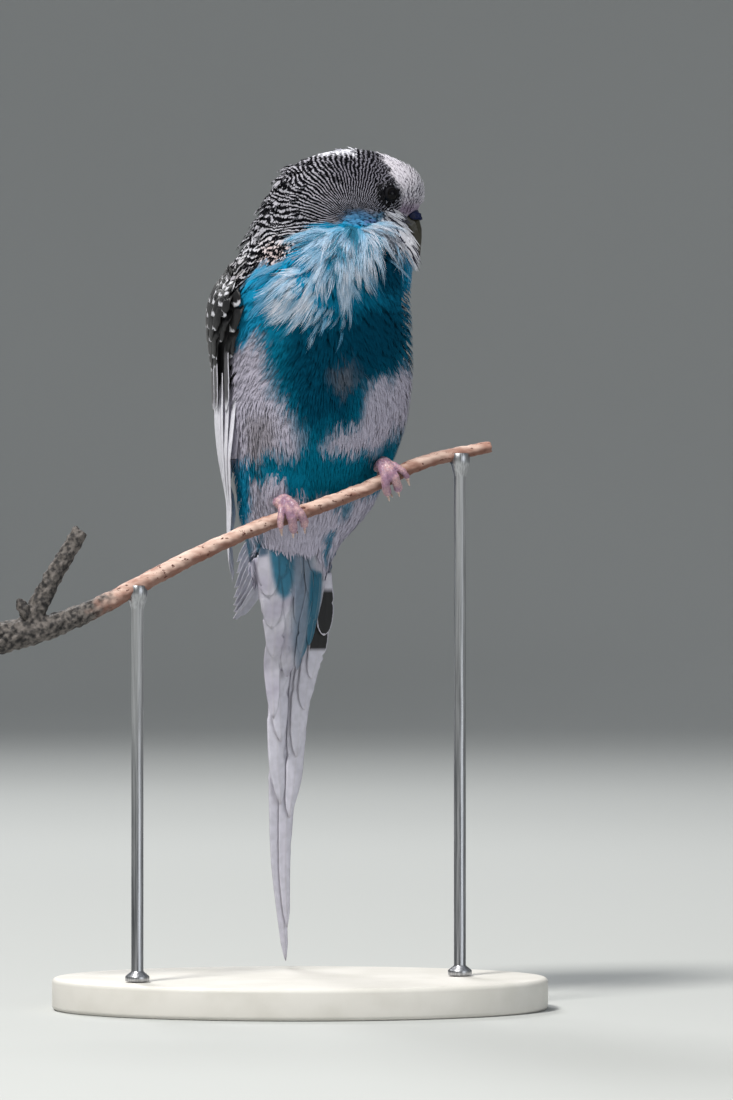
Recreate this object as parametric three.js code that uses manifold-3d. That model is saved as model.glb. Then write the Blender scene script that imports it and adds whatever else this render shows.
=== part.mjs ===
// A perched pied budgerigar, life size, on a cut length of branch that a plain stand holds up.
// Millimetres, +Z up. The origin is the centre of the stand's underside. The viewer stands on
// the -Y side, so X runs to the right of the picture. The body is drawn as level sections whose
// widths give the outline seen from there, and the head is turned to the bird's left.
import * as THREE from 'three';
import Module from 'manifold-3d';
import { mergeVertices } from 'three/addons/utils/BufferGeometryUtils.js';

const wasm = await Module();
wasm.setup();

const GAP = 0.3;                 // room that neighbouring pieces keep
const FACET_ROOM = 0.12;         // what the flat facets of a round form stand out or in by
const BLEND = 0.8;               // width over which one form runs smoothly into another
const DEG = Math.PI / 180;

// Body: level sections from the vent up to the head. left and right are the outline at that
// height without the wings, y is the middle of the section, turn is the way it faces (0 towards
// the viewer, 90 to the right) and depth is its front-to-back size over its side-to-side size.
const BODY_SECTIONS = [
  { z: 109, left: -11.4, right: 7.2, y: 18.2, turn: 30, depth: 0.5 },
  { z: 113, left: -12.2, right: 8.0, y: 17.3, turn: 30, depth: 0.56 },
  { z: 117, left: -13.0, right: 10.0, y: 16.5, turn: 30, depth: 0.64 },
  { z: 122, left: -14.4, right: 14.4, y: 15.4, turn: 30, depth: 0.74 },
  { z: 128, left: -16.0, right: 19.2, y: 13.9, turn: 30, depth: 0.82 },
  { z: 134, left: -17.4, right: 22.2, y: 12.4, turn: 30, depth: 0.88 },
  { z: 141, left: -18.2, right: 25.0, y: 10.7, turn: 30, depth: 0.92 },
  { z: 150, left: -18.8, right: 27.8, y: 8.6, turn: 30, depth: 0.94 },
  { z: 160, left: -19.0, right: 28.7, y: 6.3, turn: 30, depth: 0.95 },
  { z: 170, left: -19.8, right: 28.6, y: 3.8, turn: 32, depth: 0.97 },
  { z: 177, left: -19.8, right: 28.2, y: 1.9, turn: 42, depth: 1.0 },
  { z: 183, left: -18.4, right: 28.6, y: 0.3, turn: 62, depth: 1.08 },
  { z: 188, left: -16.0, right: 29.2, y: -0.7, turn: 80, depth: 1.2 },
  { z: 193, left: -13.4, right: 28.0, y: -1.0, turn: 92, depth: 1.36 },
  { z: 197, left: -11.3, right: 26.8, y: -1.0, turn: 98, depth: 1.46 },
  { z: 199.5, left: -10.0, right: 29.9, y: -1.0, turn: 98, depth: 1.5 },
  { z: 203, left: -8.0, right: 31.2, y: -1.0, turn: 98, depth: 1.5 },
];
const BODY_BOTTOM = 106.2;       // lowest point of the vent
const CROWN = { z: 203, rise: 12.3, shift: 1.6 };
const NECK_BASE = 177;           // level cut between torso and neck
const NECK_TOP = 186;            // level cut between neck and head
const BODY_SIDES = 40;
const BODY_PARTS = [             // torso, neck and head, with the step between their rings
  { from: BODY_BOTTOM, to: NECK_BASE - GAP / 2, step: 4.4 },
  { from: NECK_BASE + GAP / 2, to: NECK_TOP - GAP / 2, step: 2.4 },
  { from: NECK_TOP + GAP / 2, to: CROWN.z + CROWN.rise, step: 1.9 },
];

// Head: places are forward, side and up from the middle of the head, along its own pitch.
const HEAD = { x: 16.5, y: -1, z: 201.5, turn: 98, pitch: 14 };
const EYE = { forward: 9.6, z: 203.0, radius: 2.2, sunk: 1.1 };
const LID = { radius: 2.05, thick: 0.5 };
const CERE = { x: 27.9, z: 198.2, forward: 2.6, side: 4.3, up: 2.6 };
const NOSTRIL = { side: 2.1, forward: 1.9, up: 0.3, swelling: 1.5, hole: 0.55 };

// Upper and lower bill: points along the middle, with half sizes in and across the head's plane.
const UPPER_BILL = [
  { x: 24.4, z: 197.2, deep: 3.6, wide: 3.9 },
  { x: 26.9, z: 195.8, deep: 3.5, wide: 3.8 },
  { x: 28.2, z: 193.2, deep: 2.4, wide: 3.0 },
  { x: 28.9, z: 190.4, deep: 1.4, wide: 1.8 },
  { x: 29.3, z: 188.4, deep: 0.7, wide: 0.9 },
  { x: 29.2, z: 187.0, deep: 0.25, wide: 0.3 },
];
const LOWER_BILL = [
  { x: 23.2, z: 194.2, deep: 2.0, wide: 3.0 },
  { x: 25.2, z: 192.2, deep: 2.1, wide: 3.0 },
  { x: 26.6, z: 190.2, deep: 1.6, wide: 2.4 },
  { x: 27.4, z: 188.6, deep: 0.7, wide: 1.3 },
];

// Tail: middle line and half sizes of the space that the tail feathers fill.
const TAIL_LINE = [
  { x: -1.4, y: 18.6, z: 116, wide: 11.2, thick: 3.4 },
  { x: -1.6, y: 19.6, z: 106, wide: 11.2, thick: 3.5 },
  { x: -1.0, y: 21.2, z: 94, wide: 10.0, thick: 3.3 },
  { x: -2.8, y: 23.2, z: 78, wide: 6.2, thick: 2.8 },
  { x: -3.9, y: 26.0, z: 58, wide: 4.2, thick: 2.2 },
  { x: -4.7, y: 29.0, z: 36, wide: 2.3, thick: 1.5 },
  { x: -3.8, y: 31.4, z: 18, wide: 1.7, thick: 1.1 },
  { x: -3.4, y: 32.2, z: 9.7, wide: 0.7, thick: 0.7 },
];
// Tail feathers in pairs from the middle pair out: height of the right and left tips, distance
// from the middle line at the root and at the tip, and half width.
const TAIL_FEATHERS = [
  { tips: [9.7, 18.3], root: 2.4, tip: 0.3, half: 3.0 },
  { tips: [50, 46.5], root: 3.6, tip: 1.5, half: 2.9 },
  { tips: [66, 62], root: 4.7, tip: 2.5, half: 2.9 },
  { tips: [77.5, 74], root: 5.8, tip: 3.6, half: 2.9 },
  { tips: [85, 82], root: 6.9, tip: 4.6, half: 2.8 },
  { tips: [96, 95], root: 7.9, tip: 5.8, half: 2.6 },
];
const TAIL_ROOT = [
  { x: -1.4, y: 18.6, z: 116, wide: 9.6, thick: 3.3 },
  { x: -1.6, y: 19.6, z: 106, wide: 9.6, thick: 3.3 },
  { x: -1.3, y: 20.6, z: 99, wide: 6.0, thick: 1.6 },
  { x: -1.2, y: 20.9, z: 97, wide: 3.0, thick: 0.7 },
];
const TAIL_FEATHER_TOP = 109;    // height where the tail feathers start
const TAIL_STACK = 0.88;         // step from one pair of tail feathers to the next below it
const TAIL_TURN = 30;            // the way the underside of the tail faces

// Coverts under the tail: a tongue of soft feathers that hangs from the vent.
const UNDERTAIL_LINE = [
  { x: -1.2, y: 14.6, z: 113, wide: 9.4, thick: 3.6 },
  { x: -1.2, y: 15.6, z: 104, wide: 9.2, thick: 3.6 },
  { x: -1.0, y: 17.0, z: 96, wide: 7.8, thick: 3.0 },
  { x: -0.8, y: 18.8, z: 89, wide: 5.0, thick: 2.2 },
  { x: -0.8, y: 20.4, z: 84, wide: 1.4, thick: 0.9 },
];

// Wings: the leading and trailing edge as bearing from the way the breast faces (degrees round
// the body, each side the same way) and height. Above the vent the wings lie on the body, and
// lower down on level sections of their own, whose half sizes are across and along its depth.
const WING_TURN = 30;
const CARRIER_SECTIONS = [
  { z: 90, x: -1.4, y: 21.2, side: 15.4, front: 8.8 },
  { z: 100, x: -1.6, y: 20.0, side: 15.6, front: 9.6 },
  { z: 109, x: -2.1, y: 18.2, side: 14.6, front: 11.0 },
  { z: 117, x: -1.5, y: 16.5, side: 15.4, front: 13.2 },
  { z: 128, x: 1.6, y: 13.9, side: 18.8, front: 15.6 },
  { z: 134, x: 2.4, y: 12.4, side: 20.0, front: 17.0 },
  { z: 141, x: 3.1, y: 10.7, side: 21.4, front: 18.4 },
  { z: 150, x: 4.1, y: 8.6, side: 20, front: 18 },
  { z: 160, x: 4.4, y: 6.3, side: 18, front: 17 },
  { z: 170, x: 3.9, y: 3.8, side: 18, front: 17 },
  { z: 177, x: 3.8, y: 1.9, side: 18, front: 17 },
  { z: 184, x: 5.2, y: 0.2, side: 18, front: 17 },
];
const RIGHT_WING = {
  side: -1,
  leading: [
    [92, 181], [78, 175], [88, 164], [88, 152], [86, 140], [92, 128], [100, 116], [121, 107],
  ],
  trailing: [
    [118, 184], [155, 179], [170, 166], [173, 152], [170, 140], [156, 128], [142, 117], [124, 106],
  ],
  lift: [0, 0, 0, 0, 0, 0, 0.1, 0.3],
};
const LEFT_WING = {
  side: 1,
  leading: [
    [92, 181], [78, 175], [86, 164], [88, 152], [92, 140], [112, 125], [158, 111], [196, 100],
    [221, 96],
  ],
  trailing: [
    [118, 184], [155, 179], [170, 166], [173, 153], [176, 142], [184, 131], [203, 117], [224, 107],
    [236, 99],
  ],
  lift: [0, 0, 0, 0, 0.3, 1.3, 3.0, 3.6, 3.2],
};
// Core that the wing feathers grow from: its last run, height of its inner face, and thicknesses.
const SHELL = { until: 0.56, inner: 0.45, thick: 1.1, edge: 0.6 };

// Blade outlines: share of the length and share of the half width.
const FLIGHT_BLADE = [
  [0, 0.5], [0.18, 0.82], [0.36, 0.96], [0.54, 1], [0.74, 0.97], [0.92, 0.72], [1, 0.2],
];
const COVERT_BLADE = [[0, 0.5], [0.35, 0.95], [0.72, 1], [0.93, 0.7], [1, 0.2]];
const LONG_BLADE = [
  [0, 0.8], [0.2, 1], [0.45, 0.93], [0.7, 0.7], [0.88, 0.5], [0.96, 0.36], [1, 0.14],
];

// Wing feathers by tier: flight feathers, greater coverts and median coverts. Each pair of values
// is for the first and the last feather of a tier. from and to are where it starts and ends down
// the wing (0 at the shoulder, 1 at its tip), and near and far are its distances from the leading
// edge at the start and the end. lift is the height over the shell at the root and further out.
const WING_TIERS = [
  {
    count: 8, from: [0.41, 0.34], to: [0.99, 0.58], near: [2.2, 25.8], far: [2.2, 25.8],
    half: 2.25, lift: [-0.6, 0.5], profile: FLIGHT_BLADE,
  },
  {
    count: 6, from: [0.2, 0.18], to: [0.46, 0.4], near: [3.4, 27], far: [3.4, 27.5],
    half: 2.9, lift: [-0.6, 0.9], profile: COVERT_BLADE,
  },
  {
    count: 4, from: [0.05, 0.07], to: [0.25, 0.23], near: [3.5, 17], far: [4.2, 24.5],
    half: 3.6, lift: [-0.5, 1.0], profile: COVERT_BLADE,
  },
];
const VANE_THICK = 0.52;
const EDGE_ROOM = 1.5;           // least distance of a feather's middle from the trailing edge

// Perch: middle line and radius of the cut branch, which runs away from the viewer to the right.
const PERCH_LINE = [
  { x: -82, z: 92, r: 4.6 },
  { x: -79, z: 92.3, r: 4.5 },
  { x: -70, z: 93.8, r: 3.8 },
  { x: -60, z: 96.3, r: 3.0 },
  { x: -50, z: 100.5, r: 2.5 },
  { x: -40, z: 106, r: 2.15 },
  { x: -30, z: 111.2, r: 2.1 },
  { x: -20, z: 116.2, r: 2.0 },
  { x: -10, z: 120.7, r: 1.9 },
  { x: 0, z: 124, r: 1.9 },
  { x: 10, z: 127.5, r: 1.9 },
  { x: 20, z: 131.7, r: 1.85 },
  { x: 30, z: 136.5, r: 1.75 },
  { x: 40, z: 139, r: 1.65 },
  { x: 48, z: 140.7, r: 1.6 },
];
const PERCH_AWAY = { x: 11, y: -4, slope: 0.25 };   // its distance from the viewer along X
const TWIG = { from: { x: -66, z: 97 }, to: { x: -53.5, z: 119.5 }, rFrom: 2.5, rTo: 2.1 };
const BUD = { x: -67.6, z: 100.2, radius: 1.6, length: 3.2 };

// Feet: where each one stands along X, and its knee.
const FEET = {
  right: { x: -3.0, knee: { x: -0.5, y: 3.5, z: 138 } },
  left: { x: 22.6, knee: { x: 18, y: 5.5, z: 148 } },
};
// Toes: spread is how far along the branch the end lies from the start, lead and end are the
// start and end round the branch in degrees from its top towards the viewer.
const TOE_RADIUS = 1.35;
const TOES = [
  { name: 'inner', spread: 3.0, end: 152, size: 1.0, lead: 8 },
  { name: 'middle', spread: 0.0, end: 160, size: 1.06, lead: 0 },
  { name: 'outer', spread: -3.1, end: 140, size: 0.74, lead: 6 },
  { name: 'hind', spread: 1.5, end: -132, size: 0.94, lead: -6 },
];
const PALM = { run: 2.8, front: 2.3, up: 1.9 };
const CLAW = { length: 3.6, radius: 0.62, bend: 46 };

const BASE = { halfLength: 62, halfWidth: 38, height: 8, bevel: 1.2 };
const ROD = { x: 40, radius: 1.5, cup: 2.5, cupHeight: 4.4 };

// Colours of the plain materials.
const COLOURS = {
  white: 0xe6e8ee, blue: 0x5fb4cf, teal: 0x2f8fa0, wing: 0xb9bcc4, dark: 0x16161a,
  cere: 0x1f4f86, horn: 0xa39a6a, foot: 0xb79aa0, claw: 0xd8c9bd, bark: 0xc9a892,
  stand: 0xd9d6cf, rod: 0x9a9ca0,
};

// Smooth value at z through rows sorted by z (monotone between neighbours).
function smoothAt(rows, z, key) {
  const last = rows.length - 1;
  if (z <= rows[0].z) return rows[0][key];
  if (z >= rows[last].z) return rows[last][key];
  let i = 0;
  while (rows[i + 1].z < z) i += 1;
  const slope = (k) => (rows[k + 1][key] - rows[k][key]) / (rows[k + 1].z - rows[k].z);
  const tangent = (k) => {
    if (k === 0) return slope(0);
    if (k === last) return slope(last - 1);
    const a = slope(k - 1);
    const b = slope(k);
    return a * b <= 0 ? 0 : (2 * a * b) / (a + b);
  };
  const h = rows[i + 1].z - rows[i].z;
  const t = (z - rows[i].z) / h;
  const t2 = t * t;
  const t3 = t2 * t;
  return (2 * t3 - 3 * t2 + 1) * rows[i][key] + (t3 - 2 * t2 + t) * h * tangent(i)
    + (3 * t2 - 2 * t3) * rows[i + 1][key] + (t3 - t2) * h * tangent(i + 1);
}

function lerp(a, b, t) {
  return a + (b - a) * t;
}

// Level direction at a bearing from the viewer's side (-Y), turning towards +X.
function level(degrees) {
  return new THREE.Vector3(Math.sin(degrees * DEG), -Math.cos(degrees * DEG), 0);
}

// Closed body through rings of equal length, with a fan over each end.
function loft(rings) {
  const sides = rings[0].length;
  const points = rings.flat();
  const faces = [];
  for (let r = 0; r + 1 < rings.length; r += 1) {
    for (let s = 0; s < sides; s += 1) {
      const a = r * sides + s;
      const b = r * sides + ((s + 1) % sides);
      faces.push(a, b, b + sides, a, b + sides, a + sides);
    }
  }
  for (const [first, turn] of [[0, 1], [(rings.length - 1) * sides, -1]]) {
    const middle = new THREE.Vector3();
    for (let s = 0; s < sides; s += 1) middle.addScaledVector(points[first + s], 1 / sides);
    points.push(middle);
    for (let s = 0; s < sides; s += 1) {
      const a = first + s;
      const b = first + ((s + 1) % sides);
      faces.push(...(turn > 0 ? [points.length - 1, b, a] : [points.length - 1, a, b]));
    }
  }
  return facingOut(points, faces);
}

// Closed sheet between two grids of points with the same rows and columns.
function sheet(inner, outer) {
  const rows = inner.length;
  const columns = inner[0].length;
  const points = [...inner.flat(), ...outer.flat()];
  const at = (layer, r, c) => layer * rows * columns + r * columns + c;
  const faces = [];
  for (let r = 0; r + 1 < rows; r += 1) {
    for (let c = 0; c + 1 < columns; c += 1) {
      const [a, b, d, e] = [at(0, r, c), at(0, r, c + 1), at(0, r + 1, c), at(0, r + 1, c + 1)];
      const up = rows * columns;
      faces.push(a, b, e, a, e, d, a + up, e + up, b + up, a + up, d + up, e + up);
    }
  }
  const rim = [];
  for (let c = 0; c + 1 < columns; c += 1) rim.push([0, c]);
  for (let r = 0; r + 1 < rows; r += 1) rim.push([r, columns - 1]);
  for (let c = columns - 1; c > 0; c -= 1) rim.push([rows - 1, c]);
  for (let r = rows - 1; r > 0; r -= 1) rim.push([r, 0]);
  rim.forEach(([r, c], i) => {
    const [nr, nc] = rim[(i + 1) % rim.length];
    const [a, b] = [at(0, r, c), at(0, nr, nc)];
    const [e, d] = [at(1, nr, nc), at(1, r, c)];
    faces.push(b, a, d, b, d, e);
  });
  return facingOut(points, faces);
}

// Geometry of a closed surface, turned so that its faces point out.
function facingOut(points, faces) {
  let volume = 0;
  for (let i = 0; i < faces.length; i += 3) {
    const [a, b, c] = [points[faces[i]], points[faces[i + 1]], points[faces[i + 2]]];
    volume += a.dot(b.clone().cross(c));
  }
  if (volume < 0) {
    for (let i = 0; i < faces.length; i += 3) [faces[i], faces[i + 1]] = [faces[i + 1], faces[i]];
  }
  const geometry = new THREE.BufferGeometry();
  const coordinates = points.flatMap((p) => p.toArray());
  geometry.setAttribute('position', new THREE.Float32BufferAttribute(coordinates, 3));
  geometry.setIndex(faces);
  return geometry;
}

// Solid for joining and cutting, from a closed geometry.
function solid(geometry) {
  const bare = geometry.clone();
  for (const name of Object.keys(bare.attributes)) {
    if (name !== 'position') bare.deleteAttribute(name);
  }
  const merged = mergeVertices(bare, 1e-5);
  return new wasm.Manifold(new wasm.Mesh({
    numProp: 3,
    vertProperties: new Float32Array(merged.attributes.position.array),
    triVerts: new Uint32Array(merged.index.array),
  }));
}

// Joined pieces less what cuts them, with only the largest closed surface kept.
function shape(pieces, cutters = []) {
  let result = pieces[0];
  for (const piece of pieces.slice(1)) result = result.add(piece);
  for (const cutter of cutters) result = result.subtract(cutter);
  const parts = result.decompose();
  parts.sort((a, b) => Math.abs(b.volume()) - Math.abs(a.volume()));
  const mesh = parts[0].getMesh();
  const positions = new Float32Array(mesh.numVert * 3);
  for (let i = 0; i < mesh.numVert; i += 1) {
    for (let k = 0; k < 3; k += 1) positions[i * 3 + k] = mesh.vertProperties[i * mesh.numProp + k];
  }
  const geometry = new THREE.BufferGeometry();
  geometry.setAttribute('position', new THREE.BufferAttribute(positions, 3));
  geometry.setIndex(Array.from(mesh.triVerts));
  geometry.computeVertexNormals();
  return geometry;
}

// Outline of the body at one height: middle, half sizes along and across the way it faces.
function bodySection(z) {
  const inDome = z > CROWN.z;
  const low = Math.max(z, BODY_SECTIONS[0].z);
  const row = Math.min(low, CROWN.z);
  const left = smoothAt(BODY_SECTIONS, row, 'left');
  const right = smoothAt(BODY_SECTIONS, row, 'right');
  const turn = smoothAt(BODY_SECTIONS, row, 'turn');
  const depth = smoothAt(BODY_SECTIONS, row, 'depth');
  let half = (right - left) / 2;
  let x = (left + right) / 2;
  if (inDome) {
    const h = Math.min(1, (z - CROWN.z) / CROWN.rise);
    half *= Math.sqrt(1 - h * h);
    x += CROWN.shift * h;
  }
  if (z < BODY_SECTIONS[0].z) {
    const h = Math.min(1, (BODY_SECTIONS[0].z - z) / (BODY_SECTIONS[0].z - BODY_BOTTOM));
    half *= Math.sqrt(1 - h * h);
  }
  const sine = Math.sin(turn * DEG);
  const cosine = Math.cos(turn * DEG);
  const side = half / Math.sqrt((depth * sine) ** 2 + cosine ** 2);
  return { x, y: smoothAt(BODY_SECTIONS, row, 'y'), turn, front: side * depth, side };
}

function bodyRing(z, grow) {
  const s = bodySection(z);
  const forward = level(s.turn);
  const across = level(s.turn + 90);
  const ring = [];
  for (let i = 0; i < BODY_SIDES; i += 1) {
    const angle = (i / BODY_SIDES) * 2 * Math.PI;
    ring.push(new THREE.Vector3(s.x, s.y, z)
      .addScaledVector(forward, (s.front + grow) * Math.cos(angle))
      .addScaledVector(across, (s.side + grow) * Math.sin(angle)));
  }
  return ring;
}

// Heights of the rings between two levels: closer where the body rounds over at an end.
function bodyHeights(from, to, step) {
  const heights = [];
  if (from < BODY_SECTIONS[0].z) {
    for (const t of [4, 16, 34, 56]) {
      const drop = (BODY_SECTIONS[0].z - BODY_BOTTOM) * Math.cos(t * DEG);
      heights.push(BODY_SECTIONS[0].z - drop);
    }
  }
  const low = Math.max(from, BODY_SECTIONS[0].z);
  const high = Math.min(to, CROWN.z);
  const count = Math.max(2, Math.round((high - low) / step));
  for (let i = 0; i <= count; i += 1) heights.push(lerp(low, high, i / count));
  if (to > CROWN.z) {
    for (const t of [15, 29, 43, 56, 68, 78, 86]) {
      heights.push(CROWN.z + CROWN.rise * Math.sin(t * DEG));
    }
  }
  return heights;
}

function bodyPart({ from, to, step }) {
  return solid(loft(bodyHeights(from, to, step).map((z) => bodyRing(z, 0))));
}

// Tongue along a line of sections: oval ones, or squarer ones where power is under 1.
function tongue(line, turn, steps, grow = 0, sides = 20, power = 1) {
  const bend = (v) => Math.sign(v) * Math.abs(v) ** power;
  const rows = [...line].sort((a, b) => a.z - b.z);
  const forward = level(turn);
  const across = level(turn + 90);
  const top = rows[rows.length - 1].z;
  const bottom = rows[0].z;
  const rings = [];
  for (let i = 0; i <= steps; i += 1) {
    const z = lerp(top, bottom, i / steps);
    const keys = ['x', 'y', 'wide', 'thick'];
    const row = Object.fromEntries(keys.map((key) => [key, smoothAt(rows, z, key)]));
    const ends = i === 0 ? grow : i === steps ? -grow : 0;
    const ring = [];
    for (let s = 0; s < sides; s += 1) {
      const angle = (s / sides) * 2 * Math.PI;
      ring.push(new THREE.Vector3(row.x, row.y, z + ends)
        .addScaledVector(across, (row.wide + grow) * bend(Math.cos(angle)))
        .addScaledVector(forward, (row.thick + grow) * bend(Math.sin(angle))));
    }
    rings.push(ring);
  }
  return solid(loft(rings));
}

// Distance from the middle of an oval to its edge, at an angle from its front.
function ovalReach(front, side, degrees) {
  return 1 / Math.hypot(Math.cos(degrees * DEG) / front, Math.sin(degrees * DEG) / side);
}

// Place on what a wing lies on: bearing from the breast on one side, height, and lift off it.
function carrierPoint(side, bearing, z, lift) {
  const at = (key) => smoothAt(CARRIER_SECTIONS, z, key);
  const body = bodySection(z);
  const turn = WING_TURN + side * bearing;
  const own = ovalReach(at('front'), at('side'), bearing);
  const covered = z > BODY_SECTIONS[0].z;
  const skin = covered ? ovalReach(body.front, body.side, turn - body.turn) + GAP + FACET_ROOM : 0;
  const reach = (own + skin + Math.hypot(own - skin, BLEND)) / 2;
  return new THREE.Vector3(at('x'), at('y'), z).addScaledVector(level(turn), reach + lift);
}

// Value along an evenly spaced list, t from 0 to 1, smoothed by a Catmull-Rom curve.
function along(list, t) {
  const points = list.map((v) => (
    Array.isArray(v) ? new THREE.Vector3(v[0], v[1], 0) : new THREE.Vector3(v, 0, 0)
  ));
  return new THREE.CatmullRomCurve3(points, false, 'centripetal').getPoint(t);
}

// Place on a wing: run from the shoulder (0) to the tip (1), and share of the way from the
// leading to the trailing edge.
function wingPoint(wing, run, share, lift) {
  const lead = along(wing.leading, run);
  const trail = along(wing.trailing, run);
  const rise = along(wing.lift, run).x + lift;
  return carrierPoint(wing.side, lerp(lead.x, trail.x, share), lerp(lead.y, trail.y, share), rise);
}

// Smooth shell over a wing, thinner towards its edges, from the shoulder down to one run.
function wingShell(wing, until, inner, thick, rows = 10, columns = 5) {
  const layers = [[], []];
  for (let r = 0; r <= rows; r += 1) {
    const run = (until * r) / rows;
    const ends = Math.min(1, 0.35 + run * 4) * Math.min(1, 0.35 + (until - run) * 6);
    layers.forEach((layer) => layer.push([]));
    for (let c = 0; c <= columns; c += 1) {
      const share = c / columns;
      const full = Math.sqrt(Math.max(0, 1 - (2 * share - 1) ** 4)) * ends;
      layers[0][r].push(wingPoint(wing, run, share, inner));
      layers[1][r].push(wingPoint(wing, run, share, inner + SHELL.edge + (thick - SHELL.edge) * full));
    }
  }
  return solid(sheet(layers[0], layers[1]));
}

// Thin blade through stations, each with its middle, half width and two directions.
function blade(stations) {
  const layer = (side) => stations.map(({ middle, across, out, half }) => (
    [-1, 1].map((edge) => middle.clone()
      .addScaledVector(across, edge * half)
      .addScaledVector(out, (side * VANE_THICK) / 2))
  ));
  return solid(sheet(layer(-1), layer(1)));
}

// One wing feather. Its leading edge is raised, so that it lies over the feather outside it.
function wingFeather(wing, tier, index) {
  const share = index / (tier.count - 1);
  const between = (pair) => lerp(pair[0], pair[1], share);
  const place = (t, lift) => {
    const run = lerp(between(tier.from), between(tier.to), t);
    const width = wingPoint(wing, run, 0, 0).distanceTo(wingPoint(wing, run, 1, 0));
    const reach = lerp(between(tier.near), between(tier.far), t);
    return wingPoint(wing, run, Math.min(reach / width, Math.max(0.5, 1 - EDGE_ROOM / width)), lift);
  };
  return blade(tier.profile.map(([t, width]) => {
    const free = THREE.MathUtils.smoothstep(t, 0, 0.4);
    const spread = lerp(tier.near[1] - tier.near[0], tier.far[1] - tier.far[0], t);
    const tilt = Math.asin(Math.min(0.6, ((VANE_THICK + GAP) * (tier.count - 1)) / spread));
    const lift = SHELL.inner + SHELL.thick + lerp(tier.lift[0], tier.lift[1], free);
    const middle = place(t, lift);
    const ahead = place(Math.min(1, t + 0.02), lift);
    const heading = ahead.sub(place(Math.max(0, t - 0.02), lift)).normalize();
    const rise = place(t, lift + 1).sub(middle);
    const out = rise.addScaledVector(heading, -rise.dot(heading)).normalize();
    const across = heading.clone().cross(out).multiplyScalar(wing.side);
    return {
      middle,
      half: tier.half * width,
      across: across.clone().multiplyScalar(Math.cos(tilt)).addScaledVector(out, Math.sin(tilt)),
      out: out.clone().multiplyScalar(Math.cos(tilt)).addScaledVector(across, -Math.sin(tilt)),
    };
  }));
}

function wingPieces(wing) {
  const feathers = WING_TIERS.flatMap((tier) => (
    Array.from({ length: tier.count }, (_, index) => wingFeather(wing, tier, index))
  ));
  return [wingShell(wing, SHELL.until, SHELL.inner, SHELL.thick), ...feathers];
}

// One tail feather of a pair. The middle pair lies on top and the outer ones under it in turn.
function tailFeather(pair, side) {
  const { tips, root, tip, half } = TAIL_FEATHERS[pair];
  const rows = [...TAIL_LINE].sort((a, b) => a.z - b.z);
  const forward = level(TAIL_TURN);
  const across = level(TAIL_TURN + 90);
  const end = side < 0 ? tips[0] : tips[1];
  const profile = pair === 0 ? LONG_BLADE : COVERT_BLADE;
  return blade(profile.map(([t, width]) => {
    const z = lerp(TAIL_FEATHER_TOP, end, t);
    const thinning = THREE.MathUtils.smoothstep(TAIL_LINE[0].z - z, 10, 96);
    const upper = pair === 0 && side < 0 ? TAIL_STACK : 0;
    const height = ((TAIL_FEATHERS.length - 1) / 2) * (1 - thinning) - pair;
    const aside = Math.max(lerp(root, tip, t ** 1.2), pair === 0 ? 0 : half * width + 0.15);
    return {
      middle: new THREE.Vector3(smoothAt(rows, z, 'x'), smoothAt(rows, z, 'y'), z)
        .addScaledVector(across, side * aside)
        .addScaledVector(forward, -height * TAIL_STACK - upper),
      half: half * width,
      across,
      out: forward,
    };
  }));
}

function tailPieces() {
  const feathers = TAIL_FEATHERS.flatMap((_, pair) => [-1, 1].map((side) => tailFeather(pair, side)));
  return [tongue(TAIL_ROOT, TAIL_TURN, 8, 0, 12), ...feathers];
}

// Directions of the head: forward along its pitch, to the bird's right, and up.
function headAxes() {
  const flat = level(HEAD.turn);
  const forward = flat.clone().multiplyScalar(Math.cos(HEAD.pitch * DEG));
  forward.z = -Math.sin(HEAD.pitch * DEG);
  const right = level(HEAD.turn - 90);
  const up = right.clone().cross(forward);
  return { flat, forward, right, up };
}

// Place in the head's middle plane given by its X and Z, moved sideways to the bird's right.
function headPlace(x, z, side = 0) {
  const { flat, right } = headAxes();
  return new THREE.Vector3(x, HEAD.y + ((x - HEAD.x) / flat.x) * flat.y, z).addScaledVector(right, side);
}

function ball(centre, radius, width = 14, height = 9) {
  const geometry = new THREE.SphereGeometry(radius, width, height);
  geometry.translate(centre.x, centre.y, centre.z);
  return solid(geometry);
}

// Bent cone through sections that stand square to the middle line in the head's plane.
function billPiece(line, grow = 0, steps = 9, sides = 12) {
  const { right } = headAxes();
  const points = line.map((p) => headPlace(p.x, p.z));
  const curve = new THREE.CatmullRomCurve3(points);
  const sizes = line.map((p) => [p.deep, p.wide]);
  const rings = [];
  for (let i = 0; i <= steps; i += 1) {
    const t = i / steps;
    const centre = curve.getPoint(t);
    const across = right.clone().cross(curve.getTangent(t)).normalize();
    const size = along(sizes, t);
    const ring = [];
    for (let s = 0; s < sides; s += 1) {
      const angle = (s / sides) * 2 * Math.PI;
      ring.push(centre.clone()
        .addScaledVector(across, (size.x + grow) * Math.cos(angle))
        .addScaledVector(right, (size.y + grow) * Math.sin(angle)));
    }
    rings.push(ring);
  }
  return solid(loft(rings));
}

function eyePlaces(side) {
  const section = bodySection(EYE.z);
  const forward = level(section.turn);
  const across = level(section.turn + 90).multiplyScalar(-side);
  const reach = EYE.forward / section.front;
  const out = section.side * Math.sqrt(1 - reach ** 2);
  const surface = new THREE.Vector3(section.x, section.y, EYE.z)
    .addScaledVector(forward, EYE.forward).addScaledVector(across, out);
  const normal = forward.clone().multiplyScalar(EYE.forward / section.front ** 2)
    .add(across.clone().multiplyScalar(out / section.side ** 2)).normalize();
  return { surface, normal, centre: surface.clone().addScaledVector(normal, -EYE.sunk) };
}

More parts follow.
